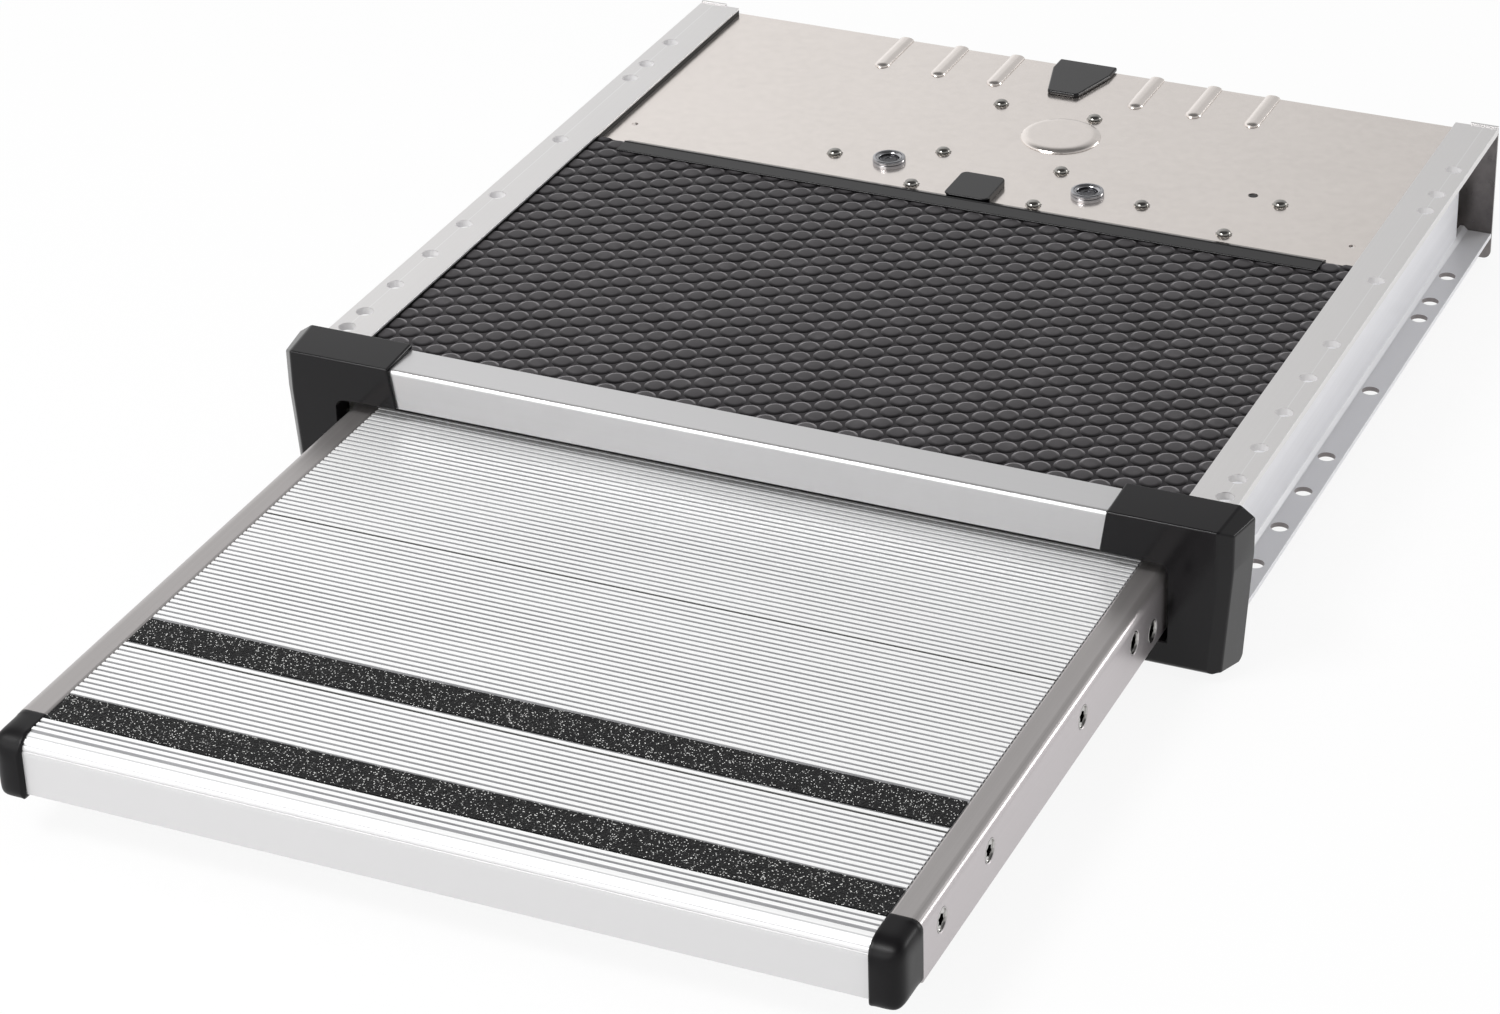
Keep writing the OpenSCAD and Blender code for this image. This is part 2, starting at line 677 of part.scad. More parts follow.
module rear_nut_plate() {
    y = rear_y - rear_screw_back;
    color(DARK_STEEL) difference() {
        along_z(housing_z, under_z) link([-rear_screw_x, y], [rear_screw_x, y], head_d + 2 * ear_rim);
        plate_holes(shank_d + 2 * press_gap);
    }
}

module side_nut_plate() {
    p = [for (s = side_screws) [s[0], rear_y - s[1]]];
    color(DARK_STEEL) difference() {
        along_z(housing_z, under_z) link(p[0], p[1], head_d + 2 * ear_rim);
        plate_holes(shank_d + 2 * press_gap);
    }
}

// Nylon pad on the lower track: carries the tube and keeps it off the web
module front_pad() {
    low = track_z;
    side = tube_x + seat_gap;
    color(NYLON) along_y(rail_front_y, rail_front_y + pad_len) polygon([
        [tread_x + pad_gap, low], [web_x, low], [web_x, tread_z - tube_r], [side, tread_z - tube_r],
        [side, tube_z - seat_gap], [tread_x + pad_gap, tube_z - seat_gap]]);
}

// Rubber stops on the rear wall, one on each side, where the cross bar meets them
module rear_buffers() {
    reach = rear_y - bar_rear_y - travel - seat_gap;
    color(RUBBER) for (m = [0, 1]) mirror([m, 0, 0])
        translate([tread_x * 0.6, rear_y, port_z]) rotate([90, 0, 0])
            cylinder(r1 = buffer_r, r2 = buffer_r * 0.75, h = reach);
}

// Outline of the side tube in (x, z), with one large top edge
module tube_outline(inset) {
    r = tube_r - inset;
    e = max(tube_edge_r - inset, least_r);
    x0 = tread_x + inset;
    x1 = tube_x - inset;
    z0 = tube_z + inset;
    z1 = tread_z - inset;
    polygon(concat(arc([x1 - r, z1 - r], r, 90, 0, 8), arc([x1 - e, z0 + e], e, 0, -90, 4),
        arc([x0 + e, z0 + e], e, -90, -180, 4), arc([x0 + e, z1 - e], e, 180, 90, 4)));
}

function side_screw_y(i) = i < len(screw_rows) ? nose_y + screw_rows[i] : bar_y;
function side_screw_z(i) = i == 4 ? port_z - port_low : port_z;
side_screw_n = len(screw_rows) + 1;

module step_tube() {
    hole_d = side_shank_d + 2 * seat_gap;
    color(SATIN) difference() {
        along_y(corner_rear_y, bar_rear_y) difference() {
            tube_outline(0);
            tube_outline(tube_wall);
        }
        for (i = [0:side_screw_n - 1]) translate([0, side_screw_y(i), side_screw_z(i)]) rotate([0, 90, 0]) {
            translate([0, 0, tread_x - cut]) cylinder(d = hole_d, h = tube_w + 2 * cut);
            translate([0, 0, tube_x - tube_wall]) cylinder(d1 = hole_d, d2 = csk_d, h = tube_wall);
        }
    }
}

module tube_screws() {
    star_d = 4.6;
    star_deep = 1.6;
    color(STEEL) for (i = [0:side_screw_n - 1])
        translate([tube_x, side_screw_y(i), side_screw_z(i)]) rotate([0, -90, 0]) difference() {
            union() {
                cylinder(d1 = csk_d - 2 * seat_gap, d2 = side_shank_d, h = tube_wall);
                cylinder(d = side_shank_d, h = side_screw_len);
            }
            translate([0, 0, -cut]) cylinder(d = star_d, h = cut + star_deep, $fn = 6);
        }
}

// Ribs between y0 and y1, counted from the rear, left out where a grit strip lies
module ribs(y0, y1, gap0, gap1) {
    slack = 0.01;
    n = floor((y1 - y0) / rib_pitch + slack);
    side = (rib_pitch - rib_w) / 2;
    rib_lean = 0.25;
    root_z = land_z - 0.4;
    for (i = [0:n - 1]) {
        a = y1 - (n - i) * rib_pitch;
        b = a + rib_pitch;
        if (b <= gap0 + slack || a >= gap1 - slack)
            polygon([[a + side - rib_lean, root_z], [b - side + rib_lean, root_z],
                [b - side - rib_lean, tread_z], [a + side + rib_lean, tread_z]]);
    }
}

// A screw port under the skin, tied to it by a stem
module port(y, z) {
    r = side_shank_d / 2 + port_wall;
    translate([y, z]) circle(r = r, $fn = 32);
    translate([y - stem_t / 2, z]) square([stem_t, land_z - z - skin_t / 2]);
}

// The section of a plank: ribbed skin, end walls, a T-shaped stem and its screw ports
module plank_section(y0, y1, ports, stems, gap0, gap1) {
    floor_z = tread_z - plank_h;
    toe = 6;
    foot = 10;
    difference() {
        union() {
            translate([y0, land_z - skin_t]) square([y1 - y0, skin_t]);
            ribs(y0, y1 + sheet_gap, gap0, gap1);
            for (y = [y0, y1 - stem_t]) translate([y, floor_z]) square([stem_t, plank_h - rib_h]);
            translate([y0, floor_z]) square([toe, stem_t]);
            translate([y1 - toe, floor_z]) square([toe, stem_t]);
            for (y = stems) {
                translate([y - stem_t / 2, floor_z]) square([stem_t, plank_h - rib_h]);
                translate([y - foot / 2, floor_z]) square([foot, stem_t]);
            }
            for (p = ports) port(p[0], p[1]);
        }
        for (p = ports) translate(p) circle(r = side_shank_d / 2 + press_gap, $fn = 32);
    }
}

module front_plank() {
    end = middle_plank_y - sheet_gap;
    color(BRIGHT) along_x(-tread_x, tread_x) plank_section(front_plank_y, end,
        [[side_screw_y(1), port_z], [side_screw_y(2), port_z]], [front_plank_y + plank_d / 2],
        grit_rear_y, grit_rear_y + grit_w);
}

module middle_plank() {
    end = rear_plank_y - sheet_gap;
    color(BRIGHT) along_x(-tread_x, tread_x) plank_section(middle_plank_y, end,
        [[side_screw_y(3), port_z], [side_screw_y(4), port_z - port_low]], [middle_plank_y + plank_d / 4],
        end, end);
}

module rear_plank() {
    end = bar_front_y - sheet_gap;
    color(BRIGHT) along_x(-tread_x, tread_x) plank_section(rear_plank_y, end,
        [[side_screw_y(5), port_z]], [for (t = [0.25, 0.75]) rear_plank_y + plank_d * t], end, end);
}

// The nosing: ribbed top, round nose with two fine grooves, and an upright front with a toe below
module nosing_plank() {
    end = front_plank_y - sheet_gap;
    centre = [nose_y + nose_r, land_z - nose_r];
    front_rib = grit_front_y - 3 * rib_pitch;
    toe_z = tube_z + nosing_lift;
    toe = 14;
    groove_r = 0.45;
    groove_turns = [118, 140, 162];
    color(BRIGHT) along_x(-tread_x, tread_x) difference() {
        union() {
            plank_section(centre[0], end, [[side_screw_y(0), port_z]], [nose_y + nosing_d * 0.75],
                nose_y, grit_front_y + grit_w);
            ribs(front_rib, grit_front_y, grit_front_y, grit_front_y);
            polygon(concat([[nose_y, toe_z], [nose_y + skin_t, toe_z]],
                arc(centre, nose_r - skin_t, 180, 90), arc(centre, nose_r, 90, 180)));
            translate([nose_y, toe_z]) square([toe, skin_t]);
        }
        for (a = groove_turns) translate(centre + nose_r * [cos(a), sin(a)]) circle(r = groove_r, $fn = 16);
    }
}

module grit_strip(y) {
    color(GRIT) translate([-tread_x + seat_gap, y + sheet_gap, land_z])
        cube([2 * (tread_x - seat_gap), grit_w - 2 * sheet_gap, grit_t]);
}

// Right-hand corner cap: the meeting of its plan, front and side outlines, with a plug for the tube
module corner_cap() {
    front = nose_y - corner_proud;
    top = tread_z + seat_gap / 2;
    low = tube_z - corner_hang;
    edge = tube_r + 1;
    nose = nose_r + corner_proud;
    foot = 6;
    inner = 2.5;
    toe = 4;
    plug = 12;
    wall = tube_wall + seat_gap;
    color(BLACK) {
        intersection() {
            along_z(low, top) polygon(concat(
                [[tread_x, corner_rear_y]], arc([tread_x + inner, front + inner], inner, 180, 270, 6),
                arc([corner_out - corner_r, front + corner_r], corner_r, -90, 0, 8),
                [[corner_out, corner_rear_y]]));
            along_y(front, corner_rear_y) polygon(concat(
                [[tread_x, top]], arc([corner_out - edge, top - edge], edge, 90, 0, 8),
                arc([corner_out - foot, low + foot], foot, 0, -90, 6),
                arc([tread_x + toe, low + toe], toe, -90, -180, 6)));
            along_x(tread_x, corner_out) polygon(concat([[corner_rear_y, top]],
                arc([front + nose, top - nose], nose, 90, 180, 8),
                arc([front + foot, low + foot], foot, 180, 270, 6),
                [[corner_rear_y - corner_hang, low], [corner_rear_y, tube_z]]));
        }
        translate([tread_x + wall, corner_rear_y - cut, tube_z + wall])
            cube([tube_w - 2 * wall, plug + cut, tube_h - 2 * wall - tube_r]);
    }
}

// Cross bar at the rear end: a box section with a slot for each step pin
module cross_bar() {
    w = pin_d + 2 * seat_gap;
    color(SATIN) difference() {
        along_x(-tread_x, tread_x) difference() {
            union() {
                difference() {
                    translate([bar_front_y, tube_z]) square([bar_d, bar_z - tube_z]);
                    translate([bar_front_y + bar_wall, tube_z + bar_wall])
                        square([bar_d - 2 * bar_wall, bar_z - tube_z - 2 * bar_wall]);
                }
                translate([bar_y, port_z]) circle(r = side_shank_d / 2 + port_wall, $fn = 32);
                translate([bar_front_y + cut, port_z - stem_t / 2]) square([bar_d - 2 * cut, stem_t]);
            }
            translate([bar_y, port_z]) circle(r = side_shank_d / 2 + press_gap, $fn = 32);
        }
        for (m = [0, 1]) mirror([m, 0, 0]) {
            for (y = [step_pin[1] - slot_front, step_pin[1] + slot_back])
                hole_z([step_pin[0], y], w, bar_z - bar_wall, bar_z);
            translate([step_pin[0] - w / 2, step_pin[1] - slot_front, bar_z - bar_wall - cut])
                cube([w, slot_front + slot_back, bar_wall + 2 * cut]);
        }
    }
}

// Glide shoe on the tube's rear end: runs between the rail's two tracks
module glide_shoe() {
    out = web_x - seat_gap;
    neck_x = web_x - track_w + 2;
    low = track_z + seat_gap;
    top = hold_z - seat_gap;
    color(NYLON) along_y(bar_rear_y - shoe_len, bar_rear_y) polygon([
        [tread_x + pad_gap, low], [out, low], [out, top], [neck_x, top],
        [neck_x, tread_z], [tube_x, tread_z], [tube_x, tube_z], [tread_x + pad_gap, tube_z]]);
}

// Upper arm: turns on the bush, carries the elbow pin
module upper_arm() {
    p = [pivot_x, pivot_y];
    eye_wall = 7;
    color(DARK_STEEL) difference() {
        along_z(upper_arm_z, upper_arm_z + arm_t) {
            translate(p) circle(d = bush_d + 2 * eye_wall);
            link(p, elbow, arm_w);
        }
        hole_z(p, bush_d + 2 * press_gap, upper_arm_z, upper_arm_z + arm_t);
        hole_z(elbow, pin_d, upper_arm_z, upper_arm_z + arm_t);
        lightening(p, elbow, upper_arm_z);
    }
}

// Three round holes along the middle of an arm
module lightening(a, b, z) {
    for (t = [0.35, 0.5, 0.65]) hole_z(a + t * (b - a), arm_w * 0.5, z, z + arm_t);
}

module forearm() {
    color(DARK_STEEL) difference() {
        along_z(forearm_z, forearm_z + arm_t) link(elbow, step_pin, arm_w);
        hole_z(elbow, pin_d + 2 * press_gap, forearm_z, forearm_z + arm_t);
        hole_z(step_pin, pin_d, forearm_z, forearm_z + arm_t);
        lightening(elbow, step_pin, forearm_z);
    }
}

// Elbow pin: riveted in the upper arm, with a spacer between the arms and a head below
module elbow_pin() {
    head = 1;
    d = pin_d + 5;
    low = forearm_z - seat_gap;
    mid = low + arm_t + 2 * seat_gap;
    color(STEEL) translate([elbow[0], elbow[1], 0]) {
        translate([0, 0, low - head]) cylinder(d = d, h = head);
        translate([0, 0, low]) cylinder(d = pin_d, h = upper_arm_z + arm_t - low);
        translate([0, 0, mid]) cylinder(d = d, h = upper_arm_z - mid);
    }
}

// Step pin: riveted in the forearm, reaches down into the cross bar's slot
module step_pin_piece() {
    reach = 9;
    color(STEEL) translate([step_pin[0], step_pin[1], 0])
        translate([0, 0, bar_z - reach]) cylinder(d = pin_d, h = forearm_z + arm_t - bar_z + reach);
}

module left() {
    mirror([1, 0, 0]) children();
}

left() rail();  // rail_left
rail();  // rail_right
top_plate();
rear_wall();
cover_mat();
mat_strip();
front_clip();
rear_clip();
front_beam();
beam_wiper();
left() end_cap();  // end_cap_left
end_cap();  // end_cap_right
plate_screws();
left() pivot_bush();  // pivot_bush_left
pivot_bush();  // pivot_bush_right
left() pivot_housing();  // pivot_housing_left
pivot_housing();  // pivot_housing_right
rear_nut_plate();
side_nut_plate();
left() front_pad();  // front_pad_left
front_pad();  // front_pad_right
rear_buffers();
left() step_tube();  // step_tube_left
step_tube();  // step_tube_right
nosing_plank();
front_plank();
middle_plank();
rear_plank();
grit_strip(grit_front_y);  // grit_strip_front
grit_strip(grit_rear_y);  // grit_strip_rear
left() corner_cap();  // corner_cap_left
corner_cap();  // corner_cap_right
left() tube_screws();  // tube_screws_left
tube_screws();  // tube_screws_right
cross_bar();
left() glide_shoe();  // glide_shoe_left
glide_shoe();  // glide_shoe_right
left() upper_arm();  // upper_arm_left
upper_arm();  // upper_arm_right
left() elbow_pin();  // elbow_pin_left
elbow_pin();  // elbow_pin_right
left() forearm();  // forearm_left
forearm();  // forearm_right
left() step_pin_piece();  // step_pin_left
step_pin_piece();  // step_pin_right
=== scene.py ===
"""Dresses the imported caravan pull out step: finishes, rounded mouldings, mat, grit, screws and studio."""

import logging
import math
from collections.abc import Callable, Iterable, Iterator
from contextlib import contextmanager
from dataclasses import dataclass
from enum import Enum

import bmesh
import bpy
from mathutils import Euler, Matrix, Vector


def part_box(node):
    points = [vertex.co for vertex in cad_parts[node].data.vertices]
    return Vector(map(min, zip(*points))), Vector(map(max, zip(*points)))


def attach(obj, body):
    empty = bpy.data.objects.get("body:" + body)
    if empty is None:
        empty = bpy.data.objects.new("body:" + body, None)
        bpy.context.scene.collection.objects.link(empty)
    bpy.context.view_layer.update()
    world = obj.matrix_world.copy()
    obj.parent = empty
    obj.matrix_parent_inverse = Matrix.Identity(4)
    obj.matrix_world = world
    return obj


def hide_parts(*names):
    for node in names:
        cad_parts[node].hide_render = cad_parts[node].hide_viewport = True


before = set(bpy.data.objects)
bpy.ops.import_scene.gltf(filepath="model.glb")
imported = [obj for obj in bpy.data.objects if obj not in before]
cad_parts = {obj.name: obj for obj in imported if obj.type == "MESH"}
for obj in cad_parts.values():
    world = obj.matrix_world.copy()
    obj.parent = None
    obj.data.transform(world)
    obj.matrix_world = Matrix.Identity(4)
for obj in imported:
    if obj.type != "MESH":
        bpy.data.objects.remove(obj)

LOG = logging.getLogger("pull_out_step")
MM = 0.001
WELD = 0.005 * MM
SHARP = math.radians(28.0)
Colour = tuple[float, float, float]
Piece = bpy.types.Object
Socket = bpy.types.NodeSocket


class Body(Enum):
    """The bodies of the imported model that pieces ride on."""

    CASSETTE = "cassette"
    STEP = "step"


class Grain(Enum):
    """Cells of a brushed or drawn grain in a metre along X, Y and Z."""

    ACROSS = (3.0, 900.0, 900.0)
    ALONG = (900.0, 3.0, 900.0)
    NONE = (160.0, 160.0, 160.0)


def both(*stems: str) -> tuple[str, ...]:
    """Gives the names of the left and the right node of each pair."""
    return tuple(f"{stem}_{side}" for stem in stems for side in ("left", "right"))


@dataclass
class Graph:
    """The nodes of a material or of the surround, and short ways to add to them.

    Attributes:
        tree: The node tree.
    """

    tree: bpy.types.NodeTree

    def find(self, kind: str) -> bpy.types.Node:
        """Finds the first node of a kind."""
        return next(n for n in self.tree.nodes if n.type == kind)

    def add(self, kind: str, **settings: object) -> bpy.types.Node:
        """Adds a node and sets its properties or sockets.

        Args:
            kind: The node's type name.
            **settings: Values by the name of a property or socket.

        Returns:
            The new node.
        """
        node = self.tree.nodes.new(kind)
        for key, value in settings.items():
            if hasattr(node, key):
                setattr(node, key, value)
            else:
                node.inputs[key].default_value = value
        return node

    def link(self, source: Socket, target: Socket) -> None:
        """Links an output to an input."""
        self.tree.links.new(source, target)

    def fill(self, sockets: Iterable[Socket], values: Iterable[object]) -> None:
        """Links each input to a socket, or sets it to a number or colour.

        Args:
            sockets: The inputs.
            values: One value for each.
        """
        for socket, value in zip(sockets, values):
            if isinstance(value, Socket):
                self.link(value, socket)
            else:
                socket.default_value = value

    def place(self, kind: str = "Object") -> Socket:
        """Gives the shaded point, in the piece's own metres unless another kind is named."""
        return self.add("ShaderNodeTexCoord").outputs[kind]

    def axes(self, kind: str = "Object") -> tuple[Socket, ...]:
        """Gives the shaded point's X, Y and Z.

        Args:
            kind: The coordinates that are read.

        Returns:
            Three sockets.
        """
        parts = self.add("ShaderNodeSeparateXYZ")
        self.link(self.place(kind), parts.inputs["Vector"])
        return tuple(parts.outputs)

    def noise(self, scale: tuple[float, float, float], detail: float = 3.0, roughness: float = 0.6) -> Socket:
        """Noise read in the piece's own metres.

        Args:
            scale: How many cells there are in a metre along X, Y and Z.
            detail: Octaves of finer noise.
            roughness: Share of each finer octave.

        Returns:
            The noise value's socket.
        """
        mapping = self.add("ShaderNodeMapping", Scale=scale)
        noise = self.add("ShaderNodeTexNoise", Scale=1.0, Detail=detail, Roughness=roughness)
        self.link(self.place(), mapping.inputs["Vector"])
        self.link(mapping.outputs["Vector"], noise.inputs["Vector"])
        return noise.outputs["Fac"]

    def calc(self, operation: str, *values: object) -> Socket:
        """One Math node.

        Args:
            operation: The operation's name.
            *values: Sockets or numbers for its inputs.

        Returns:
            The result's socket.
        """
        node = self.add("ShaderNodeMath", operation=operation)
        self.fill(node.inputs, values)
        return node.outputs["Value"]

    def times(self, first: Socket, second: object) -> Socket:
        """Multiplies two values, which also says where two things hold together."""
        return self.calc("MULTIPLY", first, second)

    def above(self, value: Socket, level: float) -> Socket:
        """Says where a value is over a level."""
        return self.calc("GREATER_THAN", value, level)

    def below(self, value: Socket, level: float) -> Socket:
        """Says where a value is under a level."""
        return self.calc("LESS_THAN", value, level)

    def apart(self, value: Socket, level: float) -> Socket:
        """Gives how far a value is from a level."""
        return self.calc("ABSOLUTE", self.calc("SUBTRACT", value, level))

    def blend(self, first: Socket, share: float, second: Socket) -> Socket:
        """Adds a share of one value to the rest of another."""
        return self.calc("ADD", self.times(first, share), self.times(second, 1.0 - share))

    def span(self, value: Socket, low: float, high: float, to_low: float = 0.0, to_high: float = 1.0) -> Socket:
        """Maps a value from one span to another and holds it there.

        Args:
            value: The value's socket.
            low: Start of the span read.
            high: End of the span read.
            to_low: Start of the span given.
            to_high: End of the span given.

        Returns:
            The mapped value's socket.
        """
        node = self.add("ShaderNodeMapRange")
        labels = ("Value", "From Min", "From Max", "To Min", "To Max")
        self.fill((node.inputs[label] for label in labels), (value, low, high, to_low, to_high))
        return node.outputs["Result"]

    def mix(self, factor: Socket, first: object, second: object) -> Socket:
        """Mixes two colours.

        Args:
            factor: Share of the second colour.
            first: The first colour, as a socket or three numbers.
            second: The second colour, likewise.

        Returns:
            The colour's socket.
        """
        node = self.add("ShaderNodeMix", data_type="RGBA")
        self.link(factor, node.inputs["Factor"])
        colours = [c if isinstance(c, Socket) else (*c, 1.0) for c in (first, second)]
        self.fill([s for s in node.inputs if s.type == "RGBA"], colours)
        return next(s for s in node.outputs if s.type == "RGBA")

    def shades(self, noise: Socket, pair: tuple[Colour, Colour], margin: float = 0.15) -> Socket:
        """Mixes two shades, from a noise's low places to its high ones."""
        return self.mix(self.span(noise, 0.5 - margin, 0.5 + margin), *pair)


class Coat(Graph):
    """A material, its shader and the nodes that feed it.

    Attributes:
        material: The material.
        shader: Its Principled shader node.
    """

    def __init__(self, name: str) -> None:
        """Makes a material of this name."""
        self.material = bpy.data.materials.new(name)
        self.material.use_nodes = True
        super().__init__(self.material.node_tree)
        self.shader = self.find("BSDF_PRINCIPLED")

    def set(self, label: str, value: object) -> None:
        """Links an input of the shader, or sets it to a number or colour."""
        self.fill([self.shader.inputs[label]], [value])

    def rough(self, noise: Socket, low: float, high: float) -> None:
        """Lets the roughness vary between two levels with a noise."""
        self.set("Roughness", self.span(noise, 0.3, 0.7, low, high))

    def bump(self, height: Socket, depth: float, strength: float) -> None:
        """Gives the shader a relief.

        Args:
            height: The height's socket, from 0 to 1.
            depth: How deep the relief is, in metres.
            strength: Share of the relief that shows.
        """
        node = self.add("ShaderNodeBump", Strength=strength, Distance=depth)
        self.link(height, node.inputs["Height"])
        self.set("Normal", node.outputs["Normal"])


@dataclass(frozen=True)
class Metal:
    """A metal with a fine grain, soft clouding and a few fine scratches.

    Attributes:
        name: The finish's name.
        shades: Colours in the grain's low and high places.
        roughness: Middle roughness.
        spread: How much the roughness varies.
        grain: The way the grain runs.
        depth: Depth of the grain, in metres.
        scratches: How much the scratches lighten it.
        metallic: How metallic it is; less makes it milky.
        unshaded_above: Above this height, in metres, the colour is the bright one, where the rest is painted
            shade.
        highlight_beyond: Further than this from the middle, in metres, it is the bright one too, as a painted
            highlight.
        bright: Colour there: the unshaded top over painted shade, and the painted highlight.
        fade: Width over which it begins there.
    """

    name: str
    shades: tuple[Colour, Colour]
    roughness: float
    spread: float
    grain: Grain
    depth: float
    scratches: float = 0.25
    metallic: float = 1.0
    unshaded_above: float = 1.0
    highlight_beyond: float = 1.0
    bright: Colour = (0.66, 0.65, 0.65)
    fade: float = 2.0 * MM

    def build(self) -> bpy.types.Material:
        """Makes the material."""
        coat = Coat(self.name)
        fine = coat.noise(self.grain.value, 4.0)
        mixed = coat.blend(fine, 0.65, coat.noise((14.0,) * 3))
        x, _, height = coat.axes()
        # The bright colour near an outer edge is a painted highlight; under a top edge the colour is painted
        # shade.
        edge = coat.span(coat.calc("ABSOLUTE", x), self.highlight_beyond - self.fade, self.highlight_beyond)
        zone = coat.calc("MAXIMUM", coat.above(height, self.unshaded_above), edge)
        base = coat.mix(zone, coat.shades(mixed, self.shades, 0.18), self.bright)
        thin = coat.noise(tuple(v * 0.35 for v in self.grain.value), 1.0)
        scratch = coat.times(coat.span(thin, 0.70, 0.76), self.scratches)
        coat.set("Base Color", coat.mix(scratch, base, tuple(min(1.0, v * 1.25) for v in self.shades[1])))
        coat.rough(mixed, self.roughness - self.spread, self.roughness + self.spread)
        coat.set("Metallic", self.metallic)
        coat.bump(fine, self.depth, 0.5)
        return coat.material


@dataclass(frozen=True)
class RibbedMetal:
    """Bright extruded aluminium of the tread, with painted shade down in the grooves between the ribs.

    Attributes:
        joints: Distance from the origin of each joint between two planks.
        name: The finish's name.
        crest: Height of the ribs' tops.
        groove_shade_depths: Depths below the crest between which the colour turns to the painted groove shade.
        groove: Height just under the grooves' floors.
        front_top: Height under which the nosing's plain front begins.
        front_fade: Height over which it begins.
        scored: Heights of the fine scored lines on the nosing's rounding.
        scored_w: Half the width of a scored line.
        joint_w: Half the width of a joint's shadow, inside and outside its soft edge.
        bright: Colours of the ribs.
        groove_shade: Colours of the grooves, painted as the shade that falls between the ribs.
        front: Colour of the nosing's front, darker as painted shade.
        line: Colour of the scored lines, painted as the shade inside fine grooves that have no relief.
        shadow: Colour of the joints.
    """

    joints: tuple[float, ...]
    name: str = "tread_aluminium_bright"
    crest: float = -26.0 * MM
    groove_shade_depths: tuple[float, float] = (0.12 * MM, 0.4 * MM)
    groove: float = -26.92 * MM
    front_top: float = -30.6 * MM
    front_fade: float = 0.8 * MM
    scored: tuple[float, ...] = (-27.5 * MM, -28.5 * MM, -30.2 * MM)
    scored_w: float = 0.2 * MM
    joint_w: tuple[float, float] = (0.9 * MM, 1.2 * MM)
    bright: tuple[Colour, Colour] = ((0.94, 0.94, 0.94), (0.97, 0.97, 0.97))
    groove_shade: tuple[Colour, Colour] = ((0.30, 0.30, 0.31), (0.38, 0.38, 0.39))
    front: Colour = (0.66, 0.655, 0.66)
    line: Colour = (0.50, 0.50, 0.51)
    shadow: Colour = (0.10, 0.10, 0.10)

    def build(self) -> bpy.types.Material:
        """Makes the material."""
        coat = Coat(self.name)
        fine = coat.noise(Grain.ACROSS.value, 4.0)
        cloud = coat.noise((9.0, 30.0, 30.0), 4.0)
        mixed = coat.blend(fine, 0.4, cloud)
        _, along, height = coat.axes()
        # Painted shade: the nosing's plain front is darker than the ribs of the same aluminium.
        front = coat.span(height, self.front_top, self.front_top - self.front_fade)
        bright = coat.mix(front, coat.shades(mixed, self.bright), self.front)
        # Painted shade: grey lines where fine grooves on the nosing's rounding hold shade.
        for level in self.scored:
            line = coat.span(coat.apart(height, level), 0.0, self.scored_w, 1.0, 0.0)
            bright = coat.mix(line, bright, self.line)
        # Painted shade in the grooves: a darker colour below the rib crests, down to the grooves' floors.
        groove_shade = coat.shades(cloud, self.groove_shade)
        for joint in self.joints:
            groove_shade = coat.mix(coat.span(coat.apart(along, joint), *self.joint_w, 1.0, 0.0), groove_shade, self.shadow)
        deep = coat.span(height, *(self.crest - depth for depth in self.groove_shade_depths))
        coat.set("Base Color", coat.mix(coat.times(deep, coat.above(height, self.groove)), bright, groove_shade))
        coat.rough(mixed, 0.36, 0.44)
        coat.set("Metallic", 0.25)
        coat.bump(fine, 0.0008 * MM, 0.5)
        return coat.material


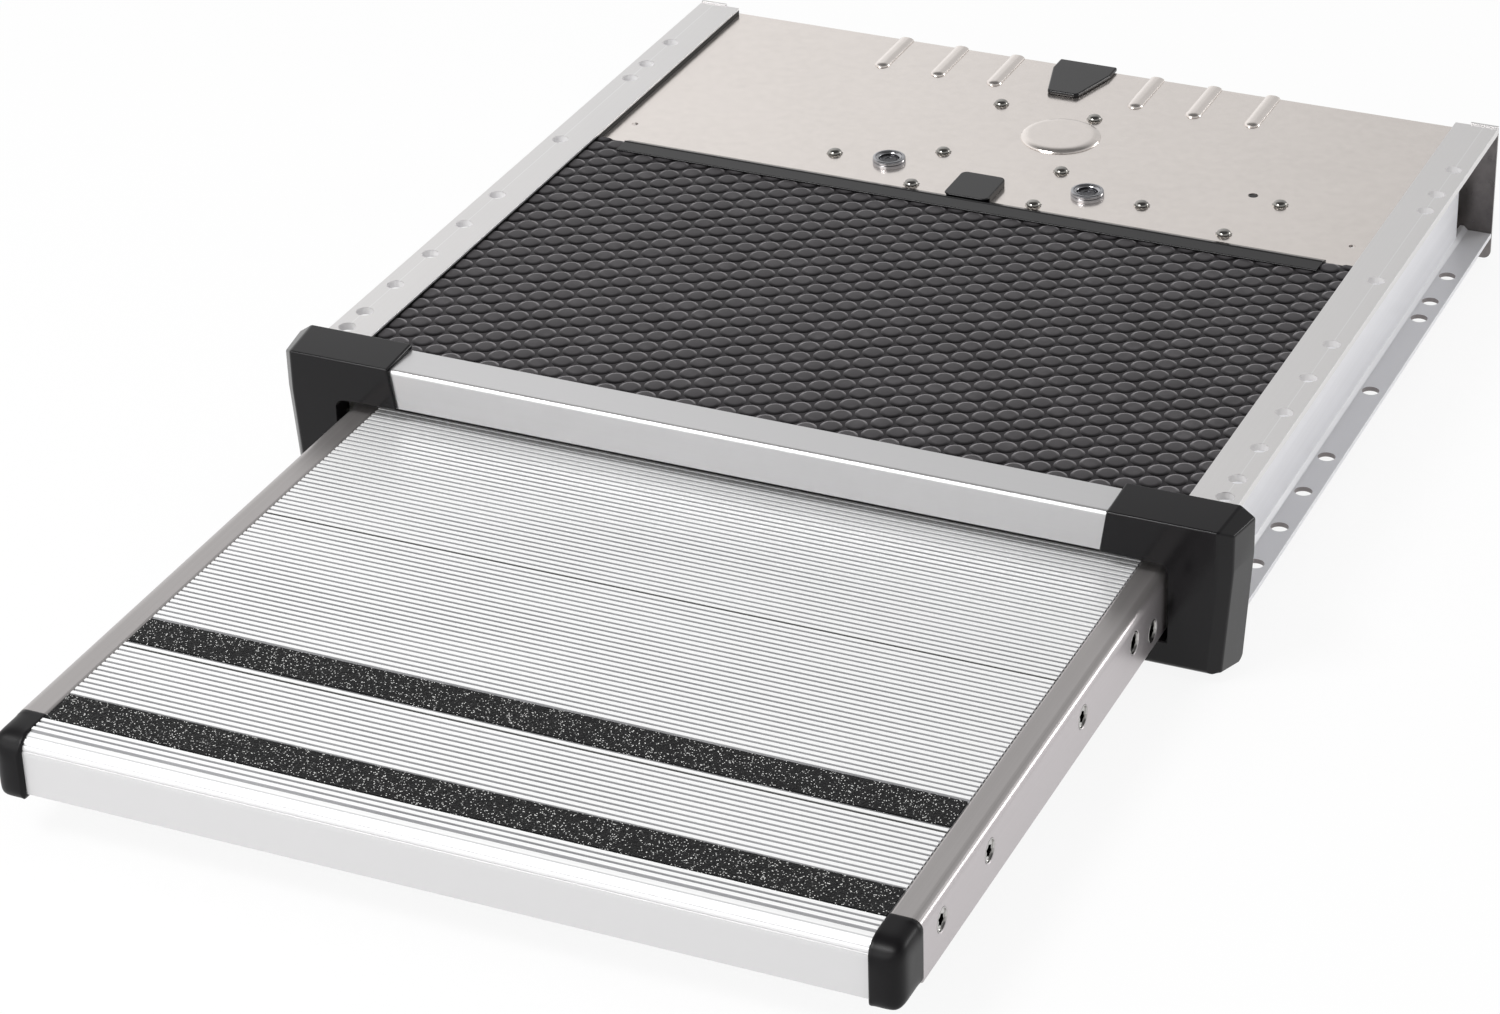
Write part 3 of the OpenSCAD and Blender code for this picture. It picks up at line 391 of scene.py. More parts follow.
@dataclass(frozen=True)
class RailMetal:
    """Drawn aluminium of the rails: streaked webs, and a fine scored line along the fixing holes.

    Attributes:
        name: The finish's name.
        line_x: Distance of the scored line, and of the holes, from the middle.
        line_w: Half the width of the scored line.
        line_low: Height above which the scored line shows.
        web_top: Height under which the web begins.
        gap_x: Distance of the top flange's shadowed inner edge from the middle.
        gap_top: Height under which that edge is shadowed.
        hole_r: Distance from the scored line within which the walls of the holes lie.
        bore: Middle height of the holes' walls in the top flange, and half their height.
        foot: Height under which the foot flange lies.
        step: Middle height of the small slanting step at the web's foot, and half its height.
        flat: Colours of the flanges.
        web: Colours of the web and the foot flange, lighter than the top flange as painted light.
        slant: Colour of the slanting step.
        line: Colour of the scored line.
        shadow: Colour of the shadowed edge.
        wall: Colour of the holes' walls in the top flange.
        foot_hole_shade: Colour of those in the foot flange, darkened as painted shade.
    """

    name: str = "rail_aluminium_drawn"
    line_x: float = 231.0 * MM
    line_w: float = 0.35 * MM
    line_low: float = -0.5 * MM
    web_top: float = -4.5 * MM
    gap_x: float = 215.5 * MM
    gap_top: float = -1.2 * MM
    hole_r: float = 4.7 * MM
    bore: tuple[float, float] = (-2.15 * MM, 1.75 * MM)
    foot: float = -63.6 * MM
    step: tuple[float, float] = (-62.4 * MM, 1.15 * MM)
    flat: tuple[Colour, Colour] = ((0.735, 0.722, 0.718), (0.775, 0.762, 0.758))
    web: tuple[Colour, Colour] = ((0.90, 0.90, 0.93), (0.95, 0.95, 0.98))
    slant: Colour = (0.70, 0.70, 0.72)
    line: Colour = (0.86, 0.86, 0.86)
    shadow: Colour = (0.02, 0.02, 0.02)
    wall: Colour = (0.74, 0.73, 0.73)
    foot_hole_shade: Colour = (0.34, 0.31, 0.31)

    def build(self) -> bpy.types.Material:
        """Makes the material."""
        coat = Coat(self.name)
        fine = coat.noise(Grain.ALONG.value, 4.0)
        mixed = coat.blend(fine, 0.4, coat.noise((38.0, 24.0, 38.0), 5.0, 0.7))
        streak = coat.noise((60.0, 4.0, 260.0))
        x, _, height = coat.axes()
        across = coat.calc("ABSOLUTE", x)
        off = coat.apart(across, self.line_x)
        near = coat.below(off, self.hole_r)
        low = coat.below(height, self.web_top)
        line = coat.times(coat.span(off, 0.0, self.line_w, 1.0, 0.0), coat.above(height, self.line_low))
        bore = coat.times(near, coat.below(coat.apart(height, self.bore[0]), self.bore[1]))
        # Below the top flange the same aluminium is made lighter: painted light on the web and foot flange.
        colour = coat.mix(low, coat.shades(mixed, self.flat), coat.shades(streak, self.web))
        for zone, shade in (
            (coat.below(coat.apart(height, self.step[0]), self.step[1]), self.slant),
            (line, self.line),
            (coat.times(coat.below(across, self.gap_x), coat.below(height, self.gap_top)), self.shadow),
            (bore, self.wall),
            # painted shade inside the foot flange's holes
            (coat.times(near, coat.below(height, self.foot)), self.foot_hole_shade),
        ):
            colour = coat.mix(zone, colour, shade)
        coat.set("Base Color", colour)
        coat.rough(mixed, 0.32, 0.44)
        coat.set("Metallic", coat.span(coat.calc("MAXIMUM", bore, low), 0.0, 1.0, 0.75, 0.1))
        coat.bump(coat.calc("SUBTRACT", fine, line), 0.002 * MM, 0.5)
        return coat.material


@dataclass(frozen=True)
class Moulding:
    """Moulded plastic or rubber with a fine surface texture.

    Attributes:
        name: The finish's name.
        shades: Its colour, and the one where it is a little lighter.
        roughness: Middle roughness.
        grain: Cells of the surface texture in a metre.
        depth: Depth of the texture, in metres.
        specular: How strongly the surface reflects.
    """

    name: str
    shades: tuple[Colour, Colour]
    roughness: float
    grain: float
    depth: float
    specular: float = 0.5

    def build(self) -> bpy.types.Material:
        """Makes the material."""
        coat = Coat(self.name)
        fine = coat.noise((self.grain,) * 3, 2.0)
        cloud = coat.noise((22.0,) * 3)
        coat.set("Base Color", coat.shades(coat.blend(fine, 0.5, cloud), self.shades))
        coat.rough(cloud, self.roughness - 0.05, self.roughness + 0.05)
        coat.set("Specular IOR Level", self.specular)
        coat.bump(fine, self.depth, 0.6)
        return coat.material


@dataclass(frozen=True)
class PaddedRubber:
    """Black rubber of the mat, with painted light on the far slopes of its pads and painted shade on the near
    ones.

    Attributes:
        name: The finish's name.
        flat: Colour of the pads' tops.
        near: Colour of the near slopes, and partly of the sheet: painted shade.
        far: Colour of the far slopes: painted light.
    """

    name: str = "mat_rubber_black"
    flat: Colour = (0.054, 0.0505, 0.0535)
    near: Colour = (0.006, 0.0055, 0.006)
    far: Colour = (0.30, 0.288, 0.298)

    def build(self) -> bpy.types.Material:
        """Makes the material."""
        coat = Coat(self.name)
        lean = coat.add("ShaderNodeAttribute", attribute_name="lean").outputs["Fac"]
        cloud = coat.noise((60.0,) * 3, 4.0)
        # The mesh attribute says where light and shade are painted: -1 on near slopes, 1 on far ones.
        mixed = coat.calc("ADD", lean, coat.span(cloud, 0.3, 0.7, -0.12, 0.12))
        shaded = coat.mix(coat.span(mixed, 0.0, -1.0), self.flat, self.near)
        coat.set("Base Color", coat.mix(coat.span(mixed, 0.0, 1.0), shaded, self.far))
        coat.rough(cloud, 0.45, 0.6)
        coat.set("Specular IOR Level", coat.span(mixed, -1.0, 0.0, 0.02, 0.2))
        coat.bump(coat.noise((1500.0,) * 3, 2.0), 0.04 * MM, 0.6)
        return coat.material


@dataclass(frozen=True)
class Grit:
    """Black anti-slip strip with bright mineral grains.

    Attributes:
        name: The finish's name.
        cell: Grains in a metre.
        share: Grains redder than this are bright.
        dark: Colour of the strip.
        fleck: Colour of the bright grains.
    """

    name: str = "grit_black"
    cell: float = 2100.0
    share: float = 0.935
    dark: Colour = (0.004, 0.004, 0.0045)
    fleck: Colour = (1.0, 1.0, 0.98)

    def build(self) -> bpy.types.Material:
        """Makes the material."""
        coat = Coat(self.name)
        grains = coat.add("ShaderNodeTexVoronoi", Scale=self.cell)
        coat.link(coat.place(), grains.inputs["Vector"])
        pick = coat.add("ShaderNodeSeparateColor")
        coat.link(grains.outputs["Color"], pick.inputs["Color"])
        red, green, blue = pick.outputs
        core = coat.span(grains.outputs["Distance"], 0.35, 0.75, 1.0, 0.0)
        coat.set("Base Color", coat.mix(coat.times(coat.above(red, self.share), core), self.dark, self.fleck))
        coat.set("Roughness", coat.span(green, 0.0, 1.0, 0.35, 0.8))
        coat.set("Specular IOR Level", 0.25)
        coat.bump(coat.calc("ADD", core, blue), 0.2 * MM, 0.6)
        return coat.material


class Finishes:
    """Every finish of the object, made once.

    Attributes:
        made: Finish name to material.
    """

    def __init__(self) -> None:
        """Makes all the finishes."""
        joints = tuple(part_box(plank)[0].y for plank in ("front_plank", "middle_plank", "rear_plank"))
        black = (0.0055, 0.005, 0.0058)
        caps = (black, (0.0075, 0.007, 0.0078))
        kinds = {
            "plate": Metal("plate_steel_pale", ((0.735, 0.683, 0.648), (0.80, 0.745, 0.708)), 0.20, 0.04,
                           Grain.NONE, 0.002 * MM, 0.0, 0.92),
            # Rear wall: the steel darkened all over as painted shade; only its top edge keeps the bright colour.
            "wall": Metal("wall_steel_painted_shade", ((0.15, 0.14, 0.138), (0.22, 0.205, 0.20)), 0.30, 0.05,
                          Grain.NONE, 0.004 * MM, 0.1, unshaded_above=-3.2 * MM),
            "rail": RailMetal(),
            "tread": RibbedMetal(joints),
            "beam": Metal("beam_aluminium_satin", ((0.605, 0.60, 0.605), (0.62, 0.615, 0.62)), 0.30, 0.015,
                          Grain.ACROSS, 0.0002 * MM, 0.0, 0.8),
            # Tube: the last 2 mm towards its outer face take a lighter colour, a painted highlight along its
            # rounded edge.
            "tube": Metal("tube_aluminium_satin", ((0.385, 0.365, 0.36), (0.435, 0.415, 0.41)), 0.34, 0.04,
                          Grain.ALONG, 0.002 * MM, 0.04, 0.7, highlight_beyond=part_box("step_tube_right")[1].x,
                          bright=(0.54, 0.505, 0.515)),
            "bright": Metal("screw_steel_bright", ((0.42, 0.41, 0.40), (0.55, 0.54, 0.53)), 0.13, 0.05,
                            Grain.NONE, 0.004 * MM),
            "polished": Metal("screw_steel_polished", ((0.26, 0.25, 0.235), (0.34, 0.33, 0.31)), 0.09, 0.03,
                              Grain.NONE, 0.002 * MM),
            "zinc": Metal("bush_steel_zinc", ((0.34, 0.34, 0.355), (0.42, 0.42, 0.435)), 0.20, 0.04,
                          Grain.NONE, 0.004 * MM),
            # Plugs in the bushes: near-black steel, painted shade deep in the bores.
            "bore_shade": Metal("plug_steel_dark", ((0.045, 0.045, 0.05), (0.11, 0.11, 0.12)), 0.3, 0.08,
                           Grain.NONE, 0.02 * MM),
            "link": Metal("link_steel_zinc", ((0.42, 0.42, 0.44), (0.55, 0.55, 0.56)), 0.38, 0.08,
                          Grain.NONE, 0.03 * MM),
            "plastic": Moulding("cap_plastic_black", caps, 0.16, 2200.0, 0.003 * MM, 0.25),
            "satin": Moulding("corner_plastic_black", caps, 0.36, 2200.0, 0.002 * MM, 0.17),
            "glossy": Moulding("clip_plastic_black", (black, (0.008, 0.0075, 0.0082)), 0.13, 1200.0,
                               0.003 * MM, 0.32),
            "rubber": Moulding("buffer_rubber_black", ((0.030, 0.028, 0.030), (0.042, 0.040, 0.042)), 0.50,
                               1500.0, 0.04 * MM, 0.22),
            "padded": PaddedRubber(),
            "nylon": Moulding("glide_nylon_pale", ((0.62, 0.61, 0.56), (0.68, 0.67, 0.62)), 0.45, 900.0,
                              0.02 * MM),
            "grit": Grit(),
        }
        self.made: dict[str, bpy.types.Material] = {key: kind.build() for key, kind in kinds.items()}

    def dress(self, piece: Piece, finish: str) -> None:
        """Gives a piece one finish, by its short name."""
        piece.data.materials.clear()
        piece.data.materials.append(self.made[finish])


def select_only(*pieces: Piece) -> None:
    """Selects these pieces alone, and makes the first one active."""
    bpy.ops.object.select_all(action="DESELECT")
    for piece in pieces:
        piece.select_set(True)
    bpy.context.view_layer.objects.active = pieces[0]


def settle(piece: Piece) -> None:
    """Moves a piece's place, turn and size into its mesh."""
    select_only(piece)
    bpy.ops.object.transform_apply(location=True, rotation=True, scale=True)


def modify(piece: Piece, kind: str, **settings: object) -> None:
    """Gives a piece a modifier and applies it.

    Args:
        piece: The piece.
        kind: The modifier's type name.
        **settings: Values by the name of a property.
    """
    modifier = piece.modifiers.new(kind.lower(), kind)
    for key, value in settings.items():
        setattr(modifier, key, value)
    select_only(piece)
    bpy.ops.object.modifier_apply(modifier=modifier.name)


def smooth(piece: Piece, degrees: float = 35.0) -> None:
    """Shades a piece smoothly, apart from edges sharper than this angle."""
    select_only(piece)
    bpy.ops.object.shade_smooth_by_angle(angle=math.radians(degrees))


@contextmanager
def editing(piece: Piece) -> Iterator[None]:
    """Opens a piece in edit mode with all of it selected, and leaves that mode after.

    Args:
        piece: The piece.

    Yields:
        Nothing.
    """
    select_only(piece)
    bpy.ops.object.mode_set(mode="EDIT")
    bpy.ops.mesh.select_all(action="SELECT")
    yield
    bpy.ops.object.mode_set(mode="OBJECT")


def choose(piece: Piece, kind: str, wanted: Callable[[object], bool]) -> None:
    """Selects vertices, edges or faces of a piece in edit mode.

    Args:
        piece: The piece, in edit mode.
        kind: VERT, EDGE or FACE.
        wanted: Says for each item whether it is selected.
    """
    bpy.ops.mesh.select_mode(type=kind)
    bpy.ops.mesh.select_all(action="DESELECT")
    mesh = bmesh.from_edit_mesh(piece.data)
    for item in {"VERT": mesh.verts, "EDGE": mesh.edges, "FACE": mesh.faces}[kind]:
        item.select_set(wanted(item))
    bmesh.update_edit_mesh(piece.data)


def reach(vertex: bmesh.types.BMVert) -> float:
    """Gives a vertex's distance from the Z axis."""
    return math.hypot(vertex.co.x, vertex.co.y)


def between(vertex: bmesh.types.BMVert, step: float) -> bool:
    """Says whether a vertex lies an odd number of these angles round the Z axis."""
    return round(math.atan2(vertex.co.y, vertex.co.x) / step) % 2 == 1


def merge(threshold: float) -> None:
    """Merges what is selected where it is closer than this."""
    bpy.ops.mesh.remove_doubles(threshold=threshold)


def extrude_edges(rise: float) -> None:
    """Extrudes the selected edges upwards."""
    bpy.ops.mesh.extrude_edges_move(TRANSFORM_OT_translate={"value": (0.0, 0.0, rise)})


def widen(scale: float, height: float = 0.0) -> None:
    """Scales what is selected in X and Y about a point of the Z axis."""
    bpy.ops.transform.resize(value=(scale, scale, 1.0), center_override=(0.0, 0.0, height))


def face_outwards() -> None:
    """Turns all faces of the piece in edit mode outwards."""
    bpy.ops.mesh.select_all(action="SELECT")
    bpy.ops.mesh.normals_make_consistent(inside=False)


def cleaned_copy(node: str, name: str) -> Piece:
    """Copies a CAD node and merges its corners and flat faces.

    Args:
        node: The CAD node.
        name: The new piece's name.

    Returns:
        The new piece.
    """
    piece = bpy.data.objects.new(name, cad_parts[node].data.copy())
    bpy.context.scene.collection.objects.link(piece)
    with editing(piece):
        merge(WELD)
        bpy.ops.mesh.dissolve_limited(angle_limit=math.radians(0.5))
    return piece


def rounded_copy(node: str, radius: float, segments: int, least: float | None) -> Piece:
    """Copies a CAD node, merges its corners and rounds its sharp edges.

    Args:
        node: The CAD node.
        radius: Width of the rounding, in metres.
        segments: Steps in the rounding.
        least: Only edges longer than this, in metres, are rounded, in full width. With None all are, as wide
            as fits.

    Returns:
        The new piece.
    """
    piece = cleaned_copy(node, f"{node}_finished")
    if least is None:
        modify(piece, "BEVEL", width=radius, segments=segments, limit_method="ANGLE", angle_limit=SHARP)
    else:
        with editing(piece):
            merge(30 * WELD)
            choose(piece, "EDGE", lambda edge: len(edge.link_faces) == 2 and edge.calc_length() > least
                   and edge.calc_face_angle(0.0) > SHARP)
            bpy.ops.mesh.bevel(offset=radius, segments=segments, clamp_overlap=False)
    smooth(piece)
    modify(piece, "WEIGHTED_NORMAL", keep_sharp=True)
    return piece


def islands(node: str) -> list[Vector]:
    """Finds the middle of each separate solid of a CAD node.

    Args:
        node: The CAD node.

    Returns:
        The middle of each solid's box, ordered by Y and then X.
    """
    with editing(cleaned_copy(node, "search")):
        bpy.ops.mesh.separate(type="LOOSE")
    middles = []
    for part in list(bpy.context.selected_objects):
        places = [v.co for v in part.data.vertices]
        low = Vector([min(p[i] for p in places) for i in range(3)])
        high = Vector([max(p[i] for p in places) for i in range(3)])
        middles.append((low + high) / 2)
        bpy.data.objects.remove(part)
    return sorted(middles, key=lambda p: (round(p.y, 5), p.x))


def turned(name: str, outline: list[tuple[float, float]], sides: int, closed: bool = False) -> Piece:
    """Makes a round piece about the Z axis, ring by ring.

    Args:
        name: The piece's name.
        outline: Radius and height of each ring, in millimetres.
        sides: Faces round each ring.
        closed: Whether the last ring meets the first, as on a ring with a bore.

    Returns:
        The new piece.
    """
    bpy.ops.object.select_all(action="DESELECT")
    radius, height = outline[0]
    bpy.ops.mesh.primitive_circle_add(vertices=sides, radius=radius * MM, location=(0.0, 0.0, height * MM))
    piece = bpy.context.active_object
    piece.name = name
    settle(piece)
    with editing(piece):
        if not closed:
            bpy.ops.mesh.edge_face_add()
            choose(piece, "EDGE", lambda edge: True)
        for ring in (outline[1:] + outline[:1]) if closed else outline[1:]:
            extrude_edges((ring[1] - height) * MM)
            widen(ring[0] / radius, ring[1] * MM)
            radius, height = ring
        if closed:
            bpy.ops.mesh.select_all(action="SELECT")
            merge(0.001 * MM)
        else:
            bpy.ops.mesh.edge_face_add()
        face_outwards()
    return piece


def copied(source: Piece, name: str, place: Vector, turn: Euler | None = None) -> Piece:
    """Copies a piece with its own mesh to a place.

    Args:
        source: The piece that is copied.
        name: The copy's name.
        place: Where it goes.
        turn: How it is turned first.

    Returns:
        The copy.
    """
    piece = bpy.data.objects.new(name, source.data.copy())
    bpy.context.scene.collection.objects.link(piece)
    piece.location = place
    if turn is not None:
        piece.rotation_euler = turn
    settle(piece)
    return piece


def joined(name: str, pieces: list[Piece]) -> Piece:
    """Joins pieces into one.

    Args:
        name: The new piece's name.
        pieces: One piece or more.

    Returns:
        The whole.
    """
    select_only(*pieces)
    if len(pieces) > 1:
        bpy.ops.object.join()
    whole = bpy.context.active_object
    whole.name = name
    return whole


def spread(source: Piece, name: str, places: list[Vector], turn: Euler | None = None) -> Piece:
    """Puts copies of a piece at several places, as one piece.

    Args:
        source: The piece, which is used up.
        name: The new piece's name.
        places: Where its copies go.
        turn: How each is turned first.

    Returns:
        All copies as one piece.
    """
    copies = [copied(source, "copy", place, turn) for place in places]
    bpy.data.objects.remove(source)
    return joined(name, copies)


@dataclass
class StudioCamera:
    """The camera, at the photograph's viewing angle.

    Attributes:
        location: Its place, in metres.
        turn: Its turn about X, Y and Z, in degrees.
        lens: Focal length, in millimetres.
        sensor: Width of its picture, in millimetres.
        shift_x: Sideways shift of the picture.
    """

    location: tuple[float, float, float] = (0.75135, -1.80028, 0.97060)
    turn: tuple[float, float, float] = (59.9976, 0.5681, 22.6560)
    lens: float = 101.055
    sensor: float = 36.0
    shift_x: float = -0.1

    def build(self) -> None:
        """Makes the camera and gives it to the scene."""
        data = bpy.data.cameras.new("camera")
        data.lens = self.lens
        data.sensor_width = self.sensor
        data.shift_x = self.shift_x
        data.clip_end = 50.0
        camera = bpy.data.objects.new("camera", data)
        camera.location = self.location
        camera.rotation_euler = Euler([math.radians(a) for a in self.turn], "XYZ")
        bpy.context.scene.collection.objects.link(camera)
        bpy.context.scene.camera = camera


@dataclass
class Lamp:
    """One soft lamp.

    Attributes:
        name: Its name.
        location: Its place.
        size: Its width and height.
        power: Its power, in watts.
        target: The point it faces.
    """

    name: str
    location: tuple[float, float, float]
    size: tuple[float, float]
    power: float
    target: tuple[float, float, float] = (0.0, -0.2, 0.0)

    def build(self) -> None:
        """Makes the lamp."""
        data = bpy.data.lights.new(self.name, "AREA")
        data.shape = "RECTANGLE"
        data.size, data.size_y = self.size
        data.energy = self.power
        lamp = bpy.data.objects.new(self.name, data)
        lamp.location = self.location
        lamp.rotation_euler = (Vector(self.target) - Vector(self.location)).to_track_quat("-Z", "Y").to_euler()
        bpy.context.scene.collection.objects.link(lamp)


@dataclass
class Studio:
    """Plain pale floor, white surround and soft lamps.

    Attributes:
        floor_z: Height of the floor.
        floor_pale: Brightness of the floor's colour, and its roughness.
        floor_seen: How much the floor glows to the camera, and in glossy surfaces.
        surround: Brightness of the surround on matt surfaces.
        mirrored: Brightness in glossy surfaces low down, at the left and at the right.
        turn_over: Sideways directions between which the left turns into the right.
        overhead: Brightness in glossy surfaces overhead.
        rise: Upward directions between which low down turns into overhead.
    """

    floor_z: float = -0.0795
    floor_pale: float = 0.9
    floor_seen: tuple[float, float] = (0.9, 0.85)
    surround: float = 0.55
    mirrored: tuple[float, float] = (1.12, 0.68)
    turn_over: tuple[float, float] = (-0.5, -0.2)
    overhead: float = 0.13
    rise: tuple[float, float] = (0.56, 0.82)

    def build(self) -> None:
        """Makes the floor, the world and the lamps."""
        self._world()
        self._floor()
        for lamp in (
            Lamp("edge_lamp", (-1.0, -1.6, 2.3), (1.3, 0.6), 46.0),
            Lamp("front_lamp", (-1.1, -2.5, 1.3), (2.2, 0.9), 14.0),
            Lamp("rim_lamp", (1.95, 2.0, 0.6), (0.9, 0.6), 14.0),
        ):
            lamp.build()
        bpy.context.scene.view_settings.view_transform = "Standard"

    def _world(self) -> None:
        """White to the camera, softer on the object."""
        world = bpy.data.worlds.new("surround")
        world.use_nodes = True
        graph = Graph(world.node_tree)
        back = graph.find("BACKGROUND")
        path = graph.add("ShaderNodeLightPath")
        x, _, z = graph.axes("Generated")
        low = graph.span(x, *self.turn_over, *self.mirrored)
        drop = graph.times(graph.calc("SUBTRACT", low, self.overhead), graph.span(z, *self.rise))
        excess = graph.calc("SUBTRACT", graph.calc("SUBTRACT", low, drop), self.surround)
        gloss = graph.calc("MULTIPLY_ADD", path.outputs["Is Glossy Ray"], excess, self.surround)
        graph.link(graph.calc("MAXIMUM", gloss, path.outputs["Is Camera Ray"]), back.inputs["Strength"])
        back.inputs["Color"].default_value = (1.0, 1.0, 1.0, 1.0)
        bpy.context.scene.world = world

    def _floor(self) -> None:
        """A wide pale floor that keeps a faint shadow."""
        bpy.ops.mesh.primitive_plane_add(size=30.0, location=(0.0, 0.0, self.floor_z))
        floor = bpy.context.active_object
        floor.name = "floor"
        settle(floor)
        coat = Coat("floor_pale")
        coat.set("Base Color", (*(self.floor_pale,) * 3, 1.0))
        coat.set("Roughness", self.floor_pale)
        path = coat.add("ShaderNodeLightPath")
        seen = [coat.times(path.outputs[ray], share)
                for ray, share in zip(("Is Camera Ray", "Is Glossy Ray"), self.floor_seen)]
        glow = coat.add("ShaderNodeEmission", Strength=1.0)
        mix = coat.add("ShaderNodeMixShader")
        coat.fill(mix.inputs, (coat.calc("MAXIMUM", *seen), coat.shader.outputs[0], glow.outputs[0]))
        coat.link(mix.outputs[0], coat.find("OUTPUT_MATERIAL").inputs["Surface"])
        floor.data.materials.append(coat.material)


@dataclass
class PieceMaker:
    """Shared last steps of every new piece.

    Attributes:
        finishes: The object's finishes.
    """

    finishes: Finishes

    def hand_over(self, piece: Piece, finish: str, slot: str, body: Body, *nodes: str) -> None:
        """Dresses a piece, hangs it on its body, and hides the CAD nodes that it stands for.

        Args:
            piece: The finished piece.
            finish: The finish's short name.
            slot: The record's material slot; not used.
            body: The body it rides on.
            *nodes: The CAD nodes that it stands for.
        """
        self.finishes.dress(piece, finish)
        if nodes:
            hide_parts(*nodes)
        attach(piece, body.value)
        LOG.info("%s: %d faces", piece.name, len(piece.data.polygons))


@dataclass
class Mouldings(PieceMaker):
    """The black mouldings, and the metal pieces whose edges are broken a little.

    Attributes:
        soft_cell: Mesh size of the softly rounded caps.
        soft_steps: How often their surface is eased.
        soft_side: Distance from their inner side within which they keep their shape.
        soft_rear: Distance from their rear end within which they keep it too.
    """

    soft_cell: float = 0.5 * MM
    soft_steps: int = 80
    soft_side: float = 1.5 * MM
    soft_rear: float = 14.5 * MM

    def build(self) -> None:
        """Makes each rounded piece in place of its CAD node."""
        # Nodes, width of the rounding, its steps, shortest edge that is rounded in full, finish and slot
        for nodes, radius, steps, least, finish, slot in (
            (both("end_cap"), 1.0 * MM, 3, 2.5 * MM, "plastic", "black_plastic"),
            (("front_clip",), 1.1 * MM, 3, None, "glossy", "black_plastic"),
            (("rear_clip",), 0.9 * MM, 3, 0.0, "glossy", "black_plastic"),
            (("mat_strip",), 0.3 * MM, 1, None, "plastic", "black_plastic"),
            (both("rail"), 0.4 * MM, 3, 2.0 * MM, "rail", "rail_aluminium"),
        ):
            for node in nodes:
                self.hand_over(rounded_copy(node, radius, steps, least), finish, slot, Body.CASSETTE, node)
        for node in both("corner_cap"):
            self.hand_over(self._softened(node), "satin", "black_plastic", Body.STEP, node)

    def _softened(self, node: str) -> Piece:
        """Copies a cap and rounds all its edges generously, as moulded.

        Args:
            node: The cap's CAD node.

        Returns:
            The new piece.
        """
        piece = cleaned_copy(node, f"{node}_finished")
        modify(piece, "REMESH", mode="VOXEL", voxel_size=self.soft_cell)
        low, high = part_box(node)
        inner = min(abs(low.x), abs(high.x)) + self.soft_side
        rear = high.y - self.soft_rear
        with editing(piece):
            bpy.ops.mesh.vertices_smooth(factor=0.5, repeat=4)
            choose(piece, "VERT", lambda vertex: abs(vertex.co.x) > inner and vertex.co.y < rear)
            bpy.ops.mesh.vertices_smooth(factor=0.5, repeat=self.soft_steps)
        bpy.ops.object.shade_smooth()
        return piece


